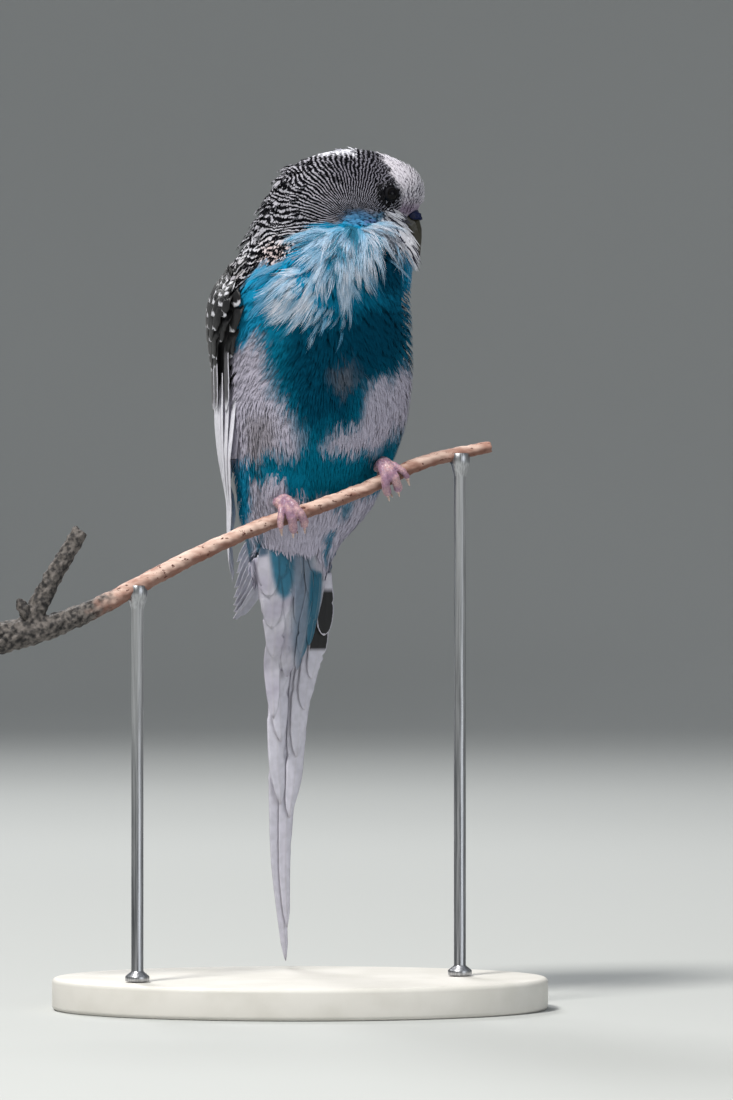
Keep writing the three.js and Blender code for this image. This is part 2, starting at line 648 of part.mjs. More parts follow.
// Raised ring of the lids round one eye.
function lidRing(side) {
  const { surface, normal } = eyePlaces(side);
  const ring = new THREE.TorusGeometry(LID.radius, LID.thick, 5, 14);
  ring.applyQuaternion(new THREE.Quaternion().setFromUnitVectors(new THREE.Vector3(0, 0, 1), normal));
  ring.translate(surface.x, surface.y, surface.z);
  return solid(ring);
}

// Swollen cere over the bill, with a nostril in each half.
function cere(grow = 0) {
  const { right, forward, up } = headAxes();
  const middle = headPlace(CERE.x, CERE.z);
  const turned = new THREE.Matrix4().makeBasis(forward, right.clone().negate(), up);
  const saddle = new THREE.SphereGeometry(1, 14, 9);
  saddle.scale(CERE.forward + grow, CERE.side + grow, CERE.up + grow);
  saddle.applyMatrix4(turned);
  saddle.translate(middle.x, middle.y, middle.z);
  let result = solid(saddle);
  for (const side of [-1, 1]) {
    const place = middle.clone().addScaledVector(right, side * NOSTRIL.side)
      .addScaledVector(forward, NOSTRIL.forward - 0.6).addScaledVector(up, NOSTRIL.up);
    result = result.add(ball(place, NOSTRIL.swelling + grow, 8, 6));
  }
  return result;
}

function nostrils() {
  const { right, forward, up } = headAxes();
  const middle = headPlace(CERE.x, CERE.z);
  return [-1, 1].map((side) => ball(middle.clone()
    .addScaledVector(right, side * (NOSTRIL.side + 0.3))
    .addScaledVector(forward, NOSTRIL.forward + 0.9)
    .addScaledVector(up, NOSTRIL.up + 0.3), NOSTRIL.hole, 8, 6));
}

// Distance of the perch's middle line from the viewer at X.
function perchY(x) {
  return PERCH_AWAY.y + (x - PERCH_AWAY.x) * PERCH_AWAY.slope;
}

function perchCurve() {
  return new THREE.CatmullRomCurve3(PERCH_LINE.map((p) => new THREE.Vector3(p.x, perchY(p.x), p.z)));
}

// Tube along a curve whose radius is a function of t.
function taperedTube(curve, radiusAt, steps, sides) {
  const frames = curve.computeFrenetFrames(steps, false);
  const rings = [];
  for (let i = 0; i <= steps; i += 1) {
    const centre = curve.getPointAt(i / steps);
    const ring = [];
    for (let s = 0; s < sides; s += 1) {
      const angle = (s / sides) * 2 * Math.PI;
      ring.push(centre.clone()
        .addScaledVector(frames.normals[i], radiusAt(i / steps) * Math.cos(angle))
        .addScaledVector(frames.binormals[i], radiusAt(i / steps) * Math.sin(angle)));
    }
    rings.push(ring);
  }
  return solid(loft(rings));
}

function perchRadiusAtX(x) {
  const rows = PERCH_LINE.map((p) => ({ z: p.x, r: p.r }));
  return smoothAt(rows, x, 'r');
}

function perchBranch(grow = 0) {
  const curve = perchCurve();
  return taperedTube(curve, (t) => perchRadiusAtX(curve.getPointAt(t).x) + grow, 20, 10);
}

// Side twig with a cut end, and a bud near its foot.
function perchTwig() {
  const from = new THREE.Vector3(TWIG.from.x, perchY(TWIG.from.x), TWIG.from.z);
  const to = new THREE.Vector3(TWIG.to.x, perchY(TWIG.to.x) - 1, TWIG.to.z);
  const middle = from.clone().lerp(to, 0.5).add(new THREE.Vector3(-0.6, 0, 0.3));
  const curve = new THREE.CatmullRomCurve3([from, middle, to]);
  return taperedTube(curve, (t) => lerp(TWIG.rFrom, TWIG.rTo, t), 4, 9);
}

function perchBud() {
  const bud = new THREE.SphereGeometry(1, 8, 6);
  bud.scale(BUD.radius, BUD.radius, BUD.length);
  bud.rotateY(-0.45);
  bud.translate(BUD.x, perchY(BUD.x) - 1.5, BUD.z);
  return solid(bud);
}

// Middle of the branch at X, with its run and the two directions square to it.
function perchFrame(x) {
  const curve = perchCurve();
  let low = 0;
  let high = 1;
  for (let i = 0; i < 30; i += 1) {
    const t = (low + high) / 2;
    if (curve.getPointAt(t).x < x) low = t;
    else high = t;
  }
  const run = curve.getTangentAt(low);
  const front = new THREE.Vector3(0, -1, 0).addScaledVector(run, run.y).normalize();
  const up = run.clone().cross(front).negate().normalize();
  return { centre: curve.getPointAt(low), run, front, up, radius: perchRadiusAtX(x) };
}

// Middle line of one toe, which leaves the top of the branch and curls round it.
function toeCurve(foot, toe, side, from = 0, to = 1) {
  const frame = perchFrame(foot.x);
  const spread = toe.spread * side;
  const points = [];
  const steps = 9;
  for (let i = 0; i <= steps; i += 1) {
    const t = lerp(from, to, i / steps);
    const angle = lerp(toe.lead, toe.end, t) * DEG;
    const reach = frame.radius + GAP + TOE_RADIUS * toe.size + 0.25 + (1 - Math.min(1, t * 4)) * 0.7;
    points.push(frame.centre.clone()
      .addScaledVector(frame.run, spread * Math.min(1, 0.15 + t * 1.1))
      .addScaledVector(frame.up, reach * Math.cos(angle))
      .addScaledVector(frame.front, reach * Math.sin(angle)));
  }
  return new THREE.CatmullRomCurve3(points);
}

// Claw that goes on from the end of a toe and bends towards the branch.
function clawPiece(foot, toe, side, grow = 0) {
  const curve = toeCurve(foot, toe, side);
  const end = curve.getPointAt(1);
  const heading = curve.getTangentAt(1);
  const { run } = perchFrame(foot.x);
  const bend = toe.end > 0 ? -CLAW.bend : CLAW.bend;
  const points = [];
  let place = end.clone().addScaledVector(heading, -0.8);
  for (let i = 0; i <= 5; i += 1) {
    points.push(place.clone());
    const turned = heading.clone().applyAxisAngle(run, (bend * 0.35 * i * DEG) / 5);
    place = place.clone().addScaledVector(turned, (CLAW.length * toe.size) / 5);
  }
  const radius = (t) => lerp(CLAW.radius, 0.18, t) * (0.8 + 0.2 * toe.size) + grow;
  return taperedTube(new THREE.CatmullRomCurve3(points), radius, 5, 7);
}

function footPieces(foot, side) {
  const frame = perchFrame(foot.x);
  const hub = frame.centre.clone().addScaledVector(frame.up, frame.radius + GAP + 1.9);
  const knee = new THREE.Vector3(foot.knee.x, foot.knee.y, foot.knee.z);
  const pieces = TOES.map((toe) => {
    const radius = (t) => TOE_RADIUS * toe.size * (1 - 0.18 * t) * (1 + 0.07 * Math.cos(t * 20));
    return taperedTube(toeCurve(foot, toe, side), radius, 8, 7);
  });
  const palm = new THREE.SphereGeometry(1, 9, 6);
  palm.scale(PALM.run, PALM.front, PALM.up);
  palm.applyMatrix4(new THREE.Matrix4().makeBasis(frame.run, frame.front.clone().negate(), frame.up));
  palm.translate(hub.x, hub.y, hub.z);
  pieces.push(solid(palm));
  const shank = new THREE.CatmullRomCurve3([hub, hub.clone().lerp(knee, 0.5), knee]);
  pieces.push(taperedTube(shank, (t) => lerp(1.6, 2.2, t), 4, 8));
  return pieces;
}

// Oval base with a bevelled upper edge.
function standBase() {
  const outline = new THREE.Shape();
  outline.absellipse(0, 0, BASE.halfLength - BASE.bevel, BASE.halfWidth - BASE.bevel, 0, 2 * Math.PI);
  const geometry = new THREE.ExtrudeGeometry(outline, {
    depth: BASE.height - 2 * BASE.bevel, bevelThickness: BASE.bevel, bevelSize: BASE.bevel,
    bevelSegments: 2, curveSegments: 16,
  });
  geometry.translate(0, 0, BASE.bevel);
  return shape([solid(geometry)]);
}

// Rod from the base up to the branch, widened at the top into a cup that cradles it.
function standRod(x) {
  const frame = perchFrame(x);
  const top = frame.centre.z;
  const from = BASE.height + GAP;
  const profile = [
    [0, from], [ROD.radius * 2, from], [ROD.radius * 2, from + 1.2], [ROD.radius, from + 2.4],
    [ROD.radius, top - ROD.cupHeight - 1.5], [ROD.cup, top - ROD.cupHeight + 1.8], [ROD.cup, top], [0, top],
  ].map(([r, z]) => new THREE.Vector2(r, z));
  const rod = new THREE.LatheGeometry(profile, 12);
  rod.rotateX(Math.PI / 2);
  rod.translate(frame.centre.x, frame.centre.y, 0);
  return shape([solid(rod)], [perchBranch(GAP)]);
}

const figure = new THREE.Group();

function addNode(name, geometry, colour, roughness = 0.85) {
  const material = new THREE.MeshStandardMaterial({ color: colour, roughness, metalness: 0 });
  const mesh = new THREE.Mesh(geometry, material);
  mesh.name = name;
  figure.add(mesh);
}

const branchRoom = perchBranch(GAP);
const bodyLevels = BODY_PARTS.flatMap(({ from, to, step }) => bodyHeights(from, to, step));
const bodyRoom = solid(loft(bodyLevels.map((z) => bodyRing(z, GAP))));
const tailRoom = tongue(TAIL_LINE, TAIL_TURN, 16, GAP, 12, 0.5);
const eyeRooms = [-1, 1].map((side) => ball(eyePlaces(side).centre, EYE.radius + GAP, 10, 7));
const upperBill = billPiece(UPPER_BILL);
const upperBillRoom = billPiece(UPPER_BILL, GAP);
const lowerBill = billPiece(LOWER_BILL);
const lowerBillRoom = billPiece(LOWER_BILL, GAP);
const rightWingRoom = wingShell(RIGHT_WING, 1, -GAP, 3.4, 12, 3);

addNode('torso', shape([bodyPart(BODY_PARTS[0])], [branchRoom]), COLOURS.blue);
addNode('neck', shape([bodyPart(BODY_PARTS[1])]), COLOURS.white);
addNode('head', shape(
  [bodyPart(BODY_PARTS[2]), lidRing(-1), lidRing(1)],
  [...eyeRooms, upperBillRoom, lowerBillRoom, cere(GAP)],
), COLOURS.white);
addNode('eye_right', shape([ball(eyePlaces(1).centre, EYE.radius)]), COLOURS.dark, 0.1);
addNode('eye_left', shape([ball(eyePlaces(-1).centre, EYE.radius)]), COLOURS.dark, 0.1);
addNode('bill_upper', shape([upperBill]), COLOURS.horn, 0.45);
addNode('bill_lower', shape([lowerBill], [upperBillRoom]), COLOURS.horn, 0.5);
addNode('cere', shape([cere()], [upperBillRoom, ...nostrils()]), COLOURS.cere, 0.5);
addNode('undertail', shape(
  [tongue(UNDERTAIL_LINE, TAIL_TURN, 12, 0, 16)],
  [bodyRoom, tailRoom],
), COLOURS.teal);
addNode('tail', shape(tailPieces(), [bodyRoom]), COLOURS.wing);
addNode('wing_right', shape(wingPieces(RIGHT_WING), [bodyRoom, tailRoom]), COLOURS.wing);
addNode('wing_left', shape(
  wingPieces(LEFT_WING),
  [bodyRoom, tailRoom, rightWingRoom],
), COLOURS.wing);

for (const [sideName, side] of [['right', -1], ['left', 1]]) {
  const foot = FEET[sideName];
  const clawRooms = TOES.map((toe) => clawPiece(foot, toe, -side, GAP));
  const leg = shape(footPieces(foot, -side), [bodyRoom, branchRoom, ...clawRooms]);
  addNode(`leg_${sideName}`, leg, COLOURS.foot, 0.6);
  TOES.forEach((toe) => {
    const claw = shape([clawPiece(foot, toe, -side)], [branchRoom]);
    addNode(`claw_${sideName}_${toe.name}`, claw, COLOURS.claw, 0.4);
  });
}

addNode('perch', shape([perchBranch(), perchTwig(), perchBud()]), COLOURS.bark, 0.9);
addNode('stand_base', standBase(), COLOURS.stand, 0.6);
addNode('stand_rod_left', standRod(-ROD.x), COLOURS.rod, 0.35);
addNode('stand_rod_right', standRod(ROD.x), COLOURS.rod, 0.35);

export default figure;
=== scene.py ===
import bpy
import numpy as np
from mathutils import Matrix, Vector
from mathutils.bvhtree import BVHTree
from mathutils.kdtree import KDTree


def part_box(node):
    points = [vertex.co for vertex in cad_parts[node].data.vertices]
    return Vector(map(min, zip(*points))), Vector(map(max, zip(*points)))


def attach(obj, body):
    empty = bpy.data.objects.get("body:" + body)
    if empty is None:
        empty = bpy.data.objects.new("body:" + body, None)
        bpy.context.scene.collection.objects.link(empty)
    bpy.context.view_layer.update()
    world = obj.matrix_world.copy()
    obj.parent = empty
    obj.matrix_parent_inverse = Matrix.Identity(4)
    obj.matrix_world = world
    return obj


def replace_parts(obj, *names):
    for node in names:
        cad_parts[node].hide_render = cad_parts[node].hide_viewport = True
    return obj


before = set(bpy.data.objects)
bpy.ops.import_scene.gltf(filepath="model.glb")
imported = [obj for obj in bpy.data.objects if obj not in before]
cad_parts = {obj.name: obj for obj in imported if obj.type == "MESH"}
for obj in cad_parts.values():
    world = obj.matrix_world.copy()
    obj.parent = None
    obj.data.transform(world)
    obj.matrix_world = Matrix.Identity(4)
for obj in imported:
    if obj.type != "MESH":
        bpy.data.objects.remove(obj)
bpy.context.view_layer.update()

MM = 0.001
rng = np.random.default_rng(20)


def linked(name, data):
    """A new object in the scene."""
    made = bpy.data.objects.new(name, data)
    bpy.context.scene.collection.objects.link(made)
    return made


# Camera: level, facing +Y, with the photograph's frame.
SENSOR = 36.0
CAMERA_PLACE = (16.6, -1400, 114.75)
FRAME_HEIGHT = 275      # what the picture's height spans at the bird
camera_data = bpy.data.cameras.new("camera")
camera_data.sensor_fit = "VERTICAL"
camera_data.sensor_height = SENSOR
camera_data.lens = SENSOR * -CAMERA_PLACE[1] / FRAME_HEIGHT
camera_data.clip_start = 0.05    # metres
camera_data.clip_end = 30
camera = linked("camera", camera_data)
camera.location = [v * MM for v in CAMERA_PLACE]
camera.rotation_euler = (np.pi / 2, 0, 0)
bpy.context.scene.camera = camera

# Body sections: height, left and right outline, middle from the viewer, facing and depth.
BODY = np.array([
    [109, -11.4, 7.2, 18.2, 30, 0.5],
    [113, -12.2, 8.0, 17.3, 30, 0.56],
    [117, -13.0, 10.0, 16.5, 30, 0.64],
    [122, -14.4, 14.4, 15.4, 30, 0.74],
    [128, -16.0, 19.2, 13.9, 30, 0.82],
    [134, -17.4, 22.2, 12.4, 30, 0.88],
    [141, -18.2, 25.0, 10.7, 30, 0.92],
    [150, -18.8, 27.8, 8.6, 30, 0.94],
    [160, -19.0, 28.7, 6.3, 30, 0.95],
    [170, -19.8, 28.6, 3.8, 32, 0.97],
    [177, -19.8, 28.2, 1.9, 42, 1.0],
    [183, -18.4, 28.6, 0.3, 62, 1.08],
    [188, -16.0, 29.2, -0.7, 80, 1.2],
    [193, -13.4, 28.0, -1.0, 92, 1.36],
    [197, -11.3, 26.8, -1.0, 98, 1.46],
    [199.5, -10.0, 29.9, -1.0, 98, 1.5],
    [203, -8.0, 31.2, -1.0, 98, 1.5],
])
BODY_BOTTOM = 106.2
CROWN_RISE = 12.3
CROWN_SHIFT = 1.6

# How deep the skin lies under the coat's outline, by height.
COAT_DEPTH = np.array([
    [106, 0.9], [114, 1.1], [122, 1.9], [132, 2.8], [165, 3.0], [178, 2.8], [186, 2.0], [194, 1.3],
    [203, 1.0], [216, 1.0],
])
UNDERTAIL = np.array([   # height, x, y, half width, half thickness
    [84, -4.4, 18.6, 1.2, 0.5],
    [89, -3.9, 17.2, 4.7, 1.3],
    [96, -3.3, 15.8, 6.7, 2.0],
    [104, -3.1, 14.6, 8.9, 2.6],
    [113, -3.6, 13.4, 10.0, 2.8],
])
TAIL_TURN = 30
BILL_BASE = np.array([27.0, 0.5, 196.0])
SPOKES = np.array([14.4, 0.0, 195.4])   # the head's bars run out from here like spokes
SPOKE_STEP = 0.064      # turn from one bar to the next, in radians


def smoothstep(low, high, value):
    t = np.clip((value - low) / (high - low), 0, 1)
    return t * t * (3 - 2 * t)


def mix(a, b, share):
    share = np.asarray(share)[..., None]
    return a * (1 - share) + b * share


def unit(v):
    return v / np.maximum(np.linalg.norm(v, axis=-1, keepdims=True), 1e-9)


def square_to(v, normal):
    """The directions v turned square to the normals."""
    return unit(v - normal * np.sum(v * normal, -1, keepdims=True))


def between(pair, share):
    return pair[0] + (pair[1] - pair[0]) * share


def circle(count):
    """Angles evenly spaced round a circle."""
    return np.linspace(0, 2 * np.pi, count, endpoint=False)


def smooth_at(rows, z):
    """Smooth values of every further column at the heights z, for rows sorted by the first one."""
    x = rows[:, 0]
    y = rows[:, 1:]
    slope = np.diff(y, axis=0) / np.diff(x)[:, None]
    before, after = slope[:-1], slope[1:]
    total = np.where(before + after == 0, 1, before + after)
    inner = np.where(before * after > 0, 2 * before * after / total, 0)
    tangent = np.vstack([slope[:1], inner, slope[-1:]])
    z = np.clip(z, x[0], x[-1])
    i = np.clip(np.searchsorted(x, z, side="right") - 1, 0, len(x) - 2)
    h = (x[i + 1] - x[i])[..., None]
    t = (z - x[i])[..., None] / h
    return ((2 * t**3 - 3 * t**2 + 1) * y[i] + (t**3 - 2 * t**2 + t) * h * tangent[i]
            + (3 * t**2 - 2 * t**3) * y[i + 1] + (t**3 - t**2) * h * tangent[i + 1])


def tabled(rows, z):
    """The further columns of a table at the heights z, one smooth array for each."""
    return np.moveaxis(smooth_at(rows, z), -1, 0)


def level(bearing):
    """Level directions at bearings in degrees from the viewer's side, turning towards +X."""
    r = np.radians(bearing)
    return np.stack([np.sin(r), -np.cos(r), np.zeros_like(r)], axis=-1)


def bearing_round(p, x, y, facing):
    """Bearings of places round the middle x and y, from the way it faces, up to 180 either way."""
    bearing = np.degrees(np.arctan2(p[:, 0] - x, -(p[:, 1] - y))) - facing
    return (bearing + 180) % 360 - 180


TAIL_ACROSS = level(TAIL_TURN + 90)
TAIL_FORWARD = level(TAIL_TURN)


def body_section(z):
    """Middle x and y, facing, and half sizes along and across it, at the heights z."""
    left, right, y, turn, depth = tabled(BODY, z)
    half = (right - left) / 2
    x = (left + right) / 2
    dome = np.clip((z - BODY[-1, 0]) / CROWN_RISE, 0, 1)
    vent = np.clip((BODY[0, 0] - z) / (BODY[0, 0] - BODY_BOTTOM), 0, 1)
    half = half * np.sqrt(1 - dome**2) * np.sqrt(1 - vent**2)
    x = x + CROWN_SHIFT * dome
    side = half / np.hypot(depth * np.sin(np.radians(turn)), np.cos(np.radians(turn)))
    return x, y, turn, side * depth, side


def body_point(angle, z, grow):
    """Places on the body's outline, grown outwards, at angles from the way it faces."""
    x, y, turn, front, side = body_section(z)
    middle = np.stack([x, y, z], axis=-1)
    ahead = level(turn) * ((front + grow) * np.cos(angle))[..., None]
    across = level(turn + 90) * ((side + grow) * np.sin(angle))[..., None]
    return middle + ahead + across


def waves(p, size, seed):
    """Smooth seeded ripple from about -1 to 1 with hills of about the given size."""
    draw = np.random.default_rng(seed)
    value = 0
    for _ in range(5):
        direction = unit(draw.normal(size=3)) * (2 * np.pi / size) * draw.uniform(0.6, 1.5)
        value = value + np.sin(p @ direction + draw.uniform(0, 6.3))
    return value / 2.6


def srgb(red, green, blue):
    c = np.array([red, green, blue]) / 255
    return np.where(c <= 0.04045, c / 12.92, ((c + 0.055) / 1.055) ** 2.4)


# Objects from arrays

def make_object(name, points, faces, material, tint=None, floats=None, uv=None, normals=None):
    """Mesh object from points in millimetres and arrays of triangles or quads."""
    mesh = bpy.data.meshes.new(name)
    blocks = [np.asarray(block, np.int32) for block in faces if len(block)]
    sizes = np.concatenate([np.full(len(block), block.shape[1], np.int32) for block in blocks])
    corners = np.concatenate([block.ravel() for block in blocks])
    mesh.vertices.add(len(points))
    mesh.vertices.foreach_set("co", (np.asarray(points) * MM).astype(np.float32).ravel())
    mesh.loops.add(len(corners))
    mesh.loops.foreach_set("vertex_index", corners)
    mesh.polygons.add(len(sizes))
    starts = np.concatenate([[0], np.cumsum(sizes)[:-1]]).astype(np.int32)
    mesh.polygons.foreach_set("loop_start", starts)
    mesh.update(calc_edges=True)
    mesh.polygons.foreach_set("use_smooth", np.ones(len(sizes), bool))
    if tint is not None:
        rgba = np.ones((len(points), 4), np.float32)
        rgba[:, :3] = tint
        mesh.attributes.new("tint", "FLOAT_COLOR", "POINT").data.foreach_set("color", rgba.ravel())
    for key, values in (floats or {}).items():
        data = np.asarray(values, np.float32).ravel()
        mesh.attributes.new(key, "FLOAT", "POINT").data.foreach_set("value", data)
    if uv is not None:
        layer = mesh.uv_layers.new(name="OFBake")
        layer.data.foreach_set("uv", np.asarray(uv, np.float32)[corners].ravel())
    mesh.validate()
    if normals is not None:
        mesh.normals_split_custom_set(normals)
    mesh.materials.append(material)
    made = linked(name, mesh)
    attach(made, "root")
    return made


def grid_faces(rows, columns, closed=False):
    """Quads of a grid of points; closed joins the last column to the first."""
    r = np.arange(rows - 1)[:, None]
    c = np.arange(columns if closed else columns - 1)[None, :]
    n = (c + 1) % columns
    quads = np.stack([r * columns + c, r * columns + n, (r + 1) * columns + n, (r + 1) * columns + c], -1)
    return quads.reshape(-1, 4)


def closing_faces(rows, columns):
    """Quads that join the last row of a closed grid back to its first one."""
    c = np.arange(columns)
    n = (c + 1) % columns
    last = (rows - 1) * columns
    return np.stack([last + c, last + n, n, c], -1)


def ring_surface(rings):
    """Closed surface through rings of equal length: points and faces, with a fan over each end."""
    rows, columns = rings.shape[:2]
    points = np.vstack([rings.reshape(-1, 3), rings[0].mean(0), rings[-1].mean(0)])
    c = np.arange(columns)
    n = (c + 1) % columns
    low = np.stack([n, c, np.full(columns, rows * columns)], -1)
    top = (rows - 1) * columns
    high = np.stack([top + c, top + n, np.full(columns, rows * columns + 1)], -1)
    return points, [grid_faces(rows, columns, closed=True), low, high]


def remeshed(points, faces, voxel, smooth):
    """Points and quads of the shapes fused into one even surface and smoothed so many times."""
    mesh = bpy.data.meshes.new("raw")
    mesh.from_pydata((np.asarray(points) * MM).tolist(), [], [list(map(int, f)) for b in faces for f in b])
    raw = linked("raw", mesh)
    remesh = raw.modifiers.new("remesh", "REMESH")
    remesh.mode = "VOXEL"
    remesh.voxel_size = voxel * MM
    raw.modifiers.new("smooth", "SMOOTH").iterations = smooth
    evaluated = raw.evaluated_get(bpy.context.evaluated_depsgraph_get())
    result = bpy.data.meshes.new_from_object(evaluated)
    places = np.empty(len(result.vertices) * 3, np.float32)
    result.vertices.foreach_get("co", places)
    corners = np.empty(len(result.loops), np.int32)
    result.loops.foreach_get("vertex_index", corners)
    bpy.data.objects.remove(raw)
    bpy.data.meshes.remove(mesh)
    bpy.data.meshes.remove(result)
    return places.reshape(-1, 3).astype(float) / MM, corners.reshape(-1, 4)


def vertex_normals(points, quads):
    cross = np.cross(points[quads[:, 2]] - points[quads[:, 0]], points[quads[:, 3]] - points[quads[:, 1]])
    total = np.zeros_like(points)
    for k in range(4):
        np.add.at(total, quads[:, k], cross)
    return unit(total)


def cad_solid(names):
    """Points in millimetres and triangles of some CAD nodes together."""
    points, faces, base = [], [], 0
    for name in names:
        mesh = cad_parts[name].data
        places = np.empty(len(mesh.vertices) * 3, np.float32)
        mesh.vertices.foreach_get("co", places)
        mesh.calc_loop_triangles()
        corners = np.empty(len(mesh.loop_triangles) * 3, np.int32)
        mesh.loop_triangles.foreach_get("vertices", corners)
        points.append(places.reshape(-1, 3).astype(float) / MM)
        faces.append(corners.reshape(-1, 3) + base)
        base += len(mesh.vertices)
    return np.vstack(points), faces


# Materials

class Look:
    """A node material that is built up in code."""

    def __init__(self, name, **sockets):
        self.material = bpy.data.materials.new(name)
        self.material.use_nodes = True
        self.tree = self.material.node_tree
        self.shader = self.tree.nodes["Principled BSDF"]
        for key, value in sockets.items():
            self.shader.inputs[key.replace("_", " ")].default_value = value

    def add(self, kind, inputs=None, output=0, **settings):
        made = self.tree.nodes.new(kind)
        for key, value in settings.items():
            setattr(made, key, value)
        for key, value in (inputs or {}).items():
            if isinstance(value, bpy.types.NodeSocket):
                self.tree.links.new(value, made.inputs[key])
            else:
                made.inputs[key].default_value = value
        return made.outputs[output]

    def math(self, operation, a, b=0.0):
        return self.add("ShaderNodeMath", {0: a, 1: b}, operation=operation)

    def remap(self, value, low, high, out_low=0.0, out_high=1.0):
        inputs = {"Value": value, "From Min": low, "From Max": high, "To Min": out_low, "To Max": out_high}
        return self.add("ShaderNodeMapRange", inputs, interpolation_type="SMOOTHSTEP")

    def blend(self, share, a, b, mode="MIX"):
        a = a if isinstance(a, bpy.types.NodeSocket) else (*a, 1)
        b = b if isinstance(b, bpy.types.NodeSocket) else (*b, 1)
        return self.add("ShaderNodeMix", {0: share, 6: a, 7: b}, 2, data_type="RGBA", blend_type=mode)

    def place(self, stretch=(1, 1, 1)):
        """Places in millimetres, stretched along the axes."""
        where = self.add("ShaderNodeTexCoord", output=3)
        scale = tuple(s / MM for s in stretch)
        return self.add("ShaderNodeMapping", {"Vector": where, "Scale": scale})

    def axis(self, vector, number):
        return self.add("ShaderNodeSeparateXYZ", {0: vector}, number)

    def noise(self, size, detail=2.0, stretch=(1, 1, 1), rough=0.5):
        inputs = {"Vector": self.place(stretch), "Scale": 1 / size, "Detail": detail, "Roughness": rough}
        return self.add("ShaderNodeTexNoise", inputs)

    def wander(self, size, detail, reach):
        """Noise on both sides of 0."""
        return self.math("MULTIPLY", self.math("SUBTRACT", self.noise(size, detail), 0.5), reach)

    def value(self, name):
        return self.add("ShaderNodeAttribute", output=2, attribute_name=name)

    def shaded(self, colour, shade):
        """A colour times a grey."""
        grey = self.add("ShaderNodeCombineColor", {0: shade, 1: shade, 2: shade})
        return self.blend(1.0, colour, grey, mode="MULTIPLY")

    def tint(self, shade):
        """The piece's own colour times a grey."""
        return self.shaded(self.add("ShaderNodeAttribute", output=0, attribute_name="tint"), shade)

    def bump(self, height, strength, distance, normal=None):
        inputs = {"Height": height, "Strength": strength, "Distance": distance * MM}
        if normal is not None:
            inputs["Normal"] = normal
        return self.add("ShaderNodeBump", inputs)

    def finish(self, colour=None, roughness=None, normal=None):
        for key, value in (("Base Color", colour), ("Roughness", roughness), ("Normal", normal)):
            if value is not None:
                self.tree.links.new(value, self.shader.inputs[key])
        return self.material


BLACK = srgb(16, 16, 20)
TURN = 2 * np.pi
RING_STEP = 2.1     # bar and gap of the mantle feathers, counted in from their rims
BARB_STEP = 0.42    # from one barb of a firm feather to the next
SCALE_SIZE = 0.75   # of the scales on the feet


def feather_look(name):
    """Soft body feathers: tint, dark bars by phase, and fine streaks."""
    look = Look(name, Roughness=0.7, Specular_IOR_Level=0.0, Sheen_Weight=0.02, Sheen_Roughness=0.5)
    turn = look.math("MULTIPLY", look.math("ADD", look.value("phase"), look.wander(1.6, 2, 0.8)), TURN)
    wave = look.math("ADD", look.math("SINE", turn), look.math("SUBTRACT", look.noise(0.9, 1), 0.5))
    bar = look.math("MULTIPLY", look.remap(wave, -0.6, -0.1), look.value("bar"))
    toned = look.tint(look.remap(look.noise(0.35, 2), 0.25, 0.75, 0.9, 1.06))
    return look.finish(look.blend(bar, toned, BLACK))


def vane_look():
    """Firm feathers: tint, dark middle inside a pale margin, slanting barbs, and a thin line of painted shade
    along the edges.
    """
    look = Look("vane", Roughness=0.5, Specular_IOR_Level=0.35, Sheen_Weight=0.06)
    slant = look.math("ADD", look.value("along"), look.math("MULTIPLY", look.value("across"), 0.9))
    barb = look.math("SINE", look.math("MULTIPLY", slant, TURN / BARB_STEP))
    inside = look.math("ADD", look.value("margin"), look.wander(1.1, 2, 0.7))
    round_rim = look.math("SINE", look.math("MULTIPLY", look.math("SUBTRACT", inside, 0.5), TURN / RING_STEP))
    rings = look.math("MULTIPLY", look.remap(round_rim, -0.3, 0.15), look.value("rings"))
    whole = look.math("MULTIPLY", look.remap(inside, 0.35, 0.6), look.value("dark"))
    cloud = look.remap(look.noise(1.6, 3), 0.3, 0.7, 0.9, 1.04)
    toned = look.tint(look.math("ADD", cloud, look.math("MULTIPLY", barb, 0.05)))
    shaft = look.remap(look.value("across"), 0.0, 0.2, 1.0, 0.0)
    # Painted shade: a thin grey line along each feather's edge.
    edge = look.remap(look.value("margin"), 0.02, 0.2, 0.28, 0.0)
    painted = look.blend(look.math("MULTIPLY", shaft, 0.25), toned, srgb(176, 170, 168))
    painted = look.blend(edge, painted, srgb(110, 106, 112))
    painted = look.blend(look.math("MAXIMUM", rings, whole), painted, srgb(14, 14, 17))
    return look.finish(painted, normal=look.bump(barb, 0.35, 0.05))


def eye_look():
    """Dark pupil, thin and very dark iris and a near-black edge, by the angle from the eye's axis."""
    look = Look("eye", Roughness=0.05, Specular_IOR_Level=0.12)
    edge = look.math("ADD", look.value("ring"), look.wander(0.25, 3, 0.1))
    iris = look.math("MULTIPLY", look.remap(edge, 0.7, 0.78), look.remap(edge, 0.94, 1.02, 1.0, 0.0))
    return look.finish(look.blend(iris, (0.003, 0.003, 0.004), srgb(13, 11, 9)))


def mottled_look(name, colours, size, grain, bump, roughness, **sockets):
    """Two colours in clouds, with a fine grain in the relief."""
    look = Look(name, Roughness=roughness, **sockets)
    cloud = look.remap(look.noise(size, 4), 0.35, 0.65)
    relief = look.noise(grain, 3)
    rough = look.remap(relief, 0.2, 0.8, roughness - 0.08, roughness + 0.1)
    colour = look.blend(cloud, srgb(*colours[0]), srgb(*colours[1]))
    return look.finish(colour, rough, look.bump(relief, bump, grain * 0.3))


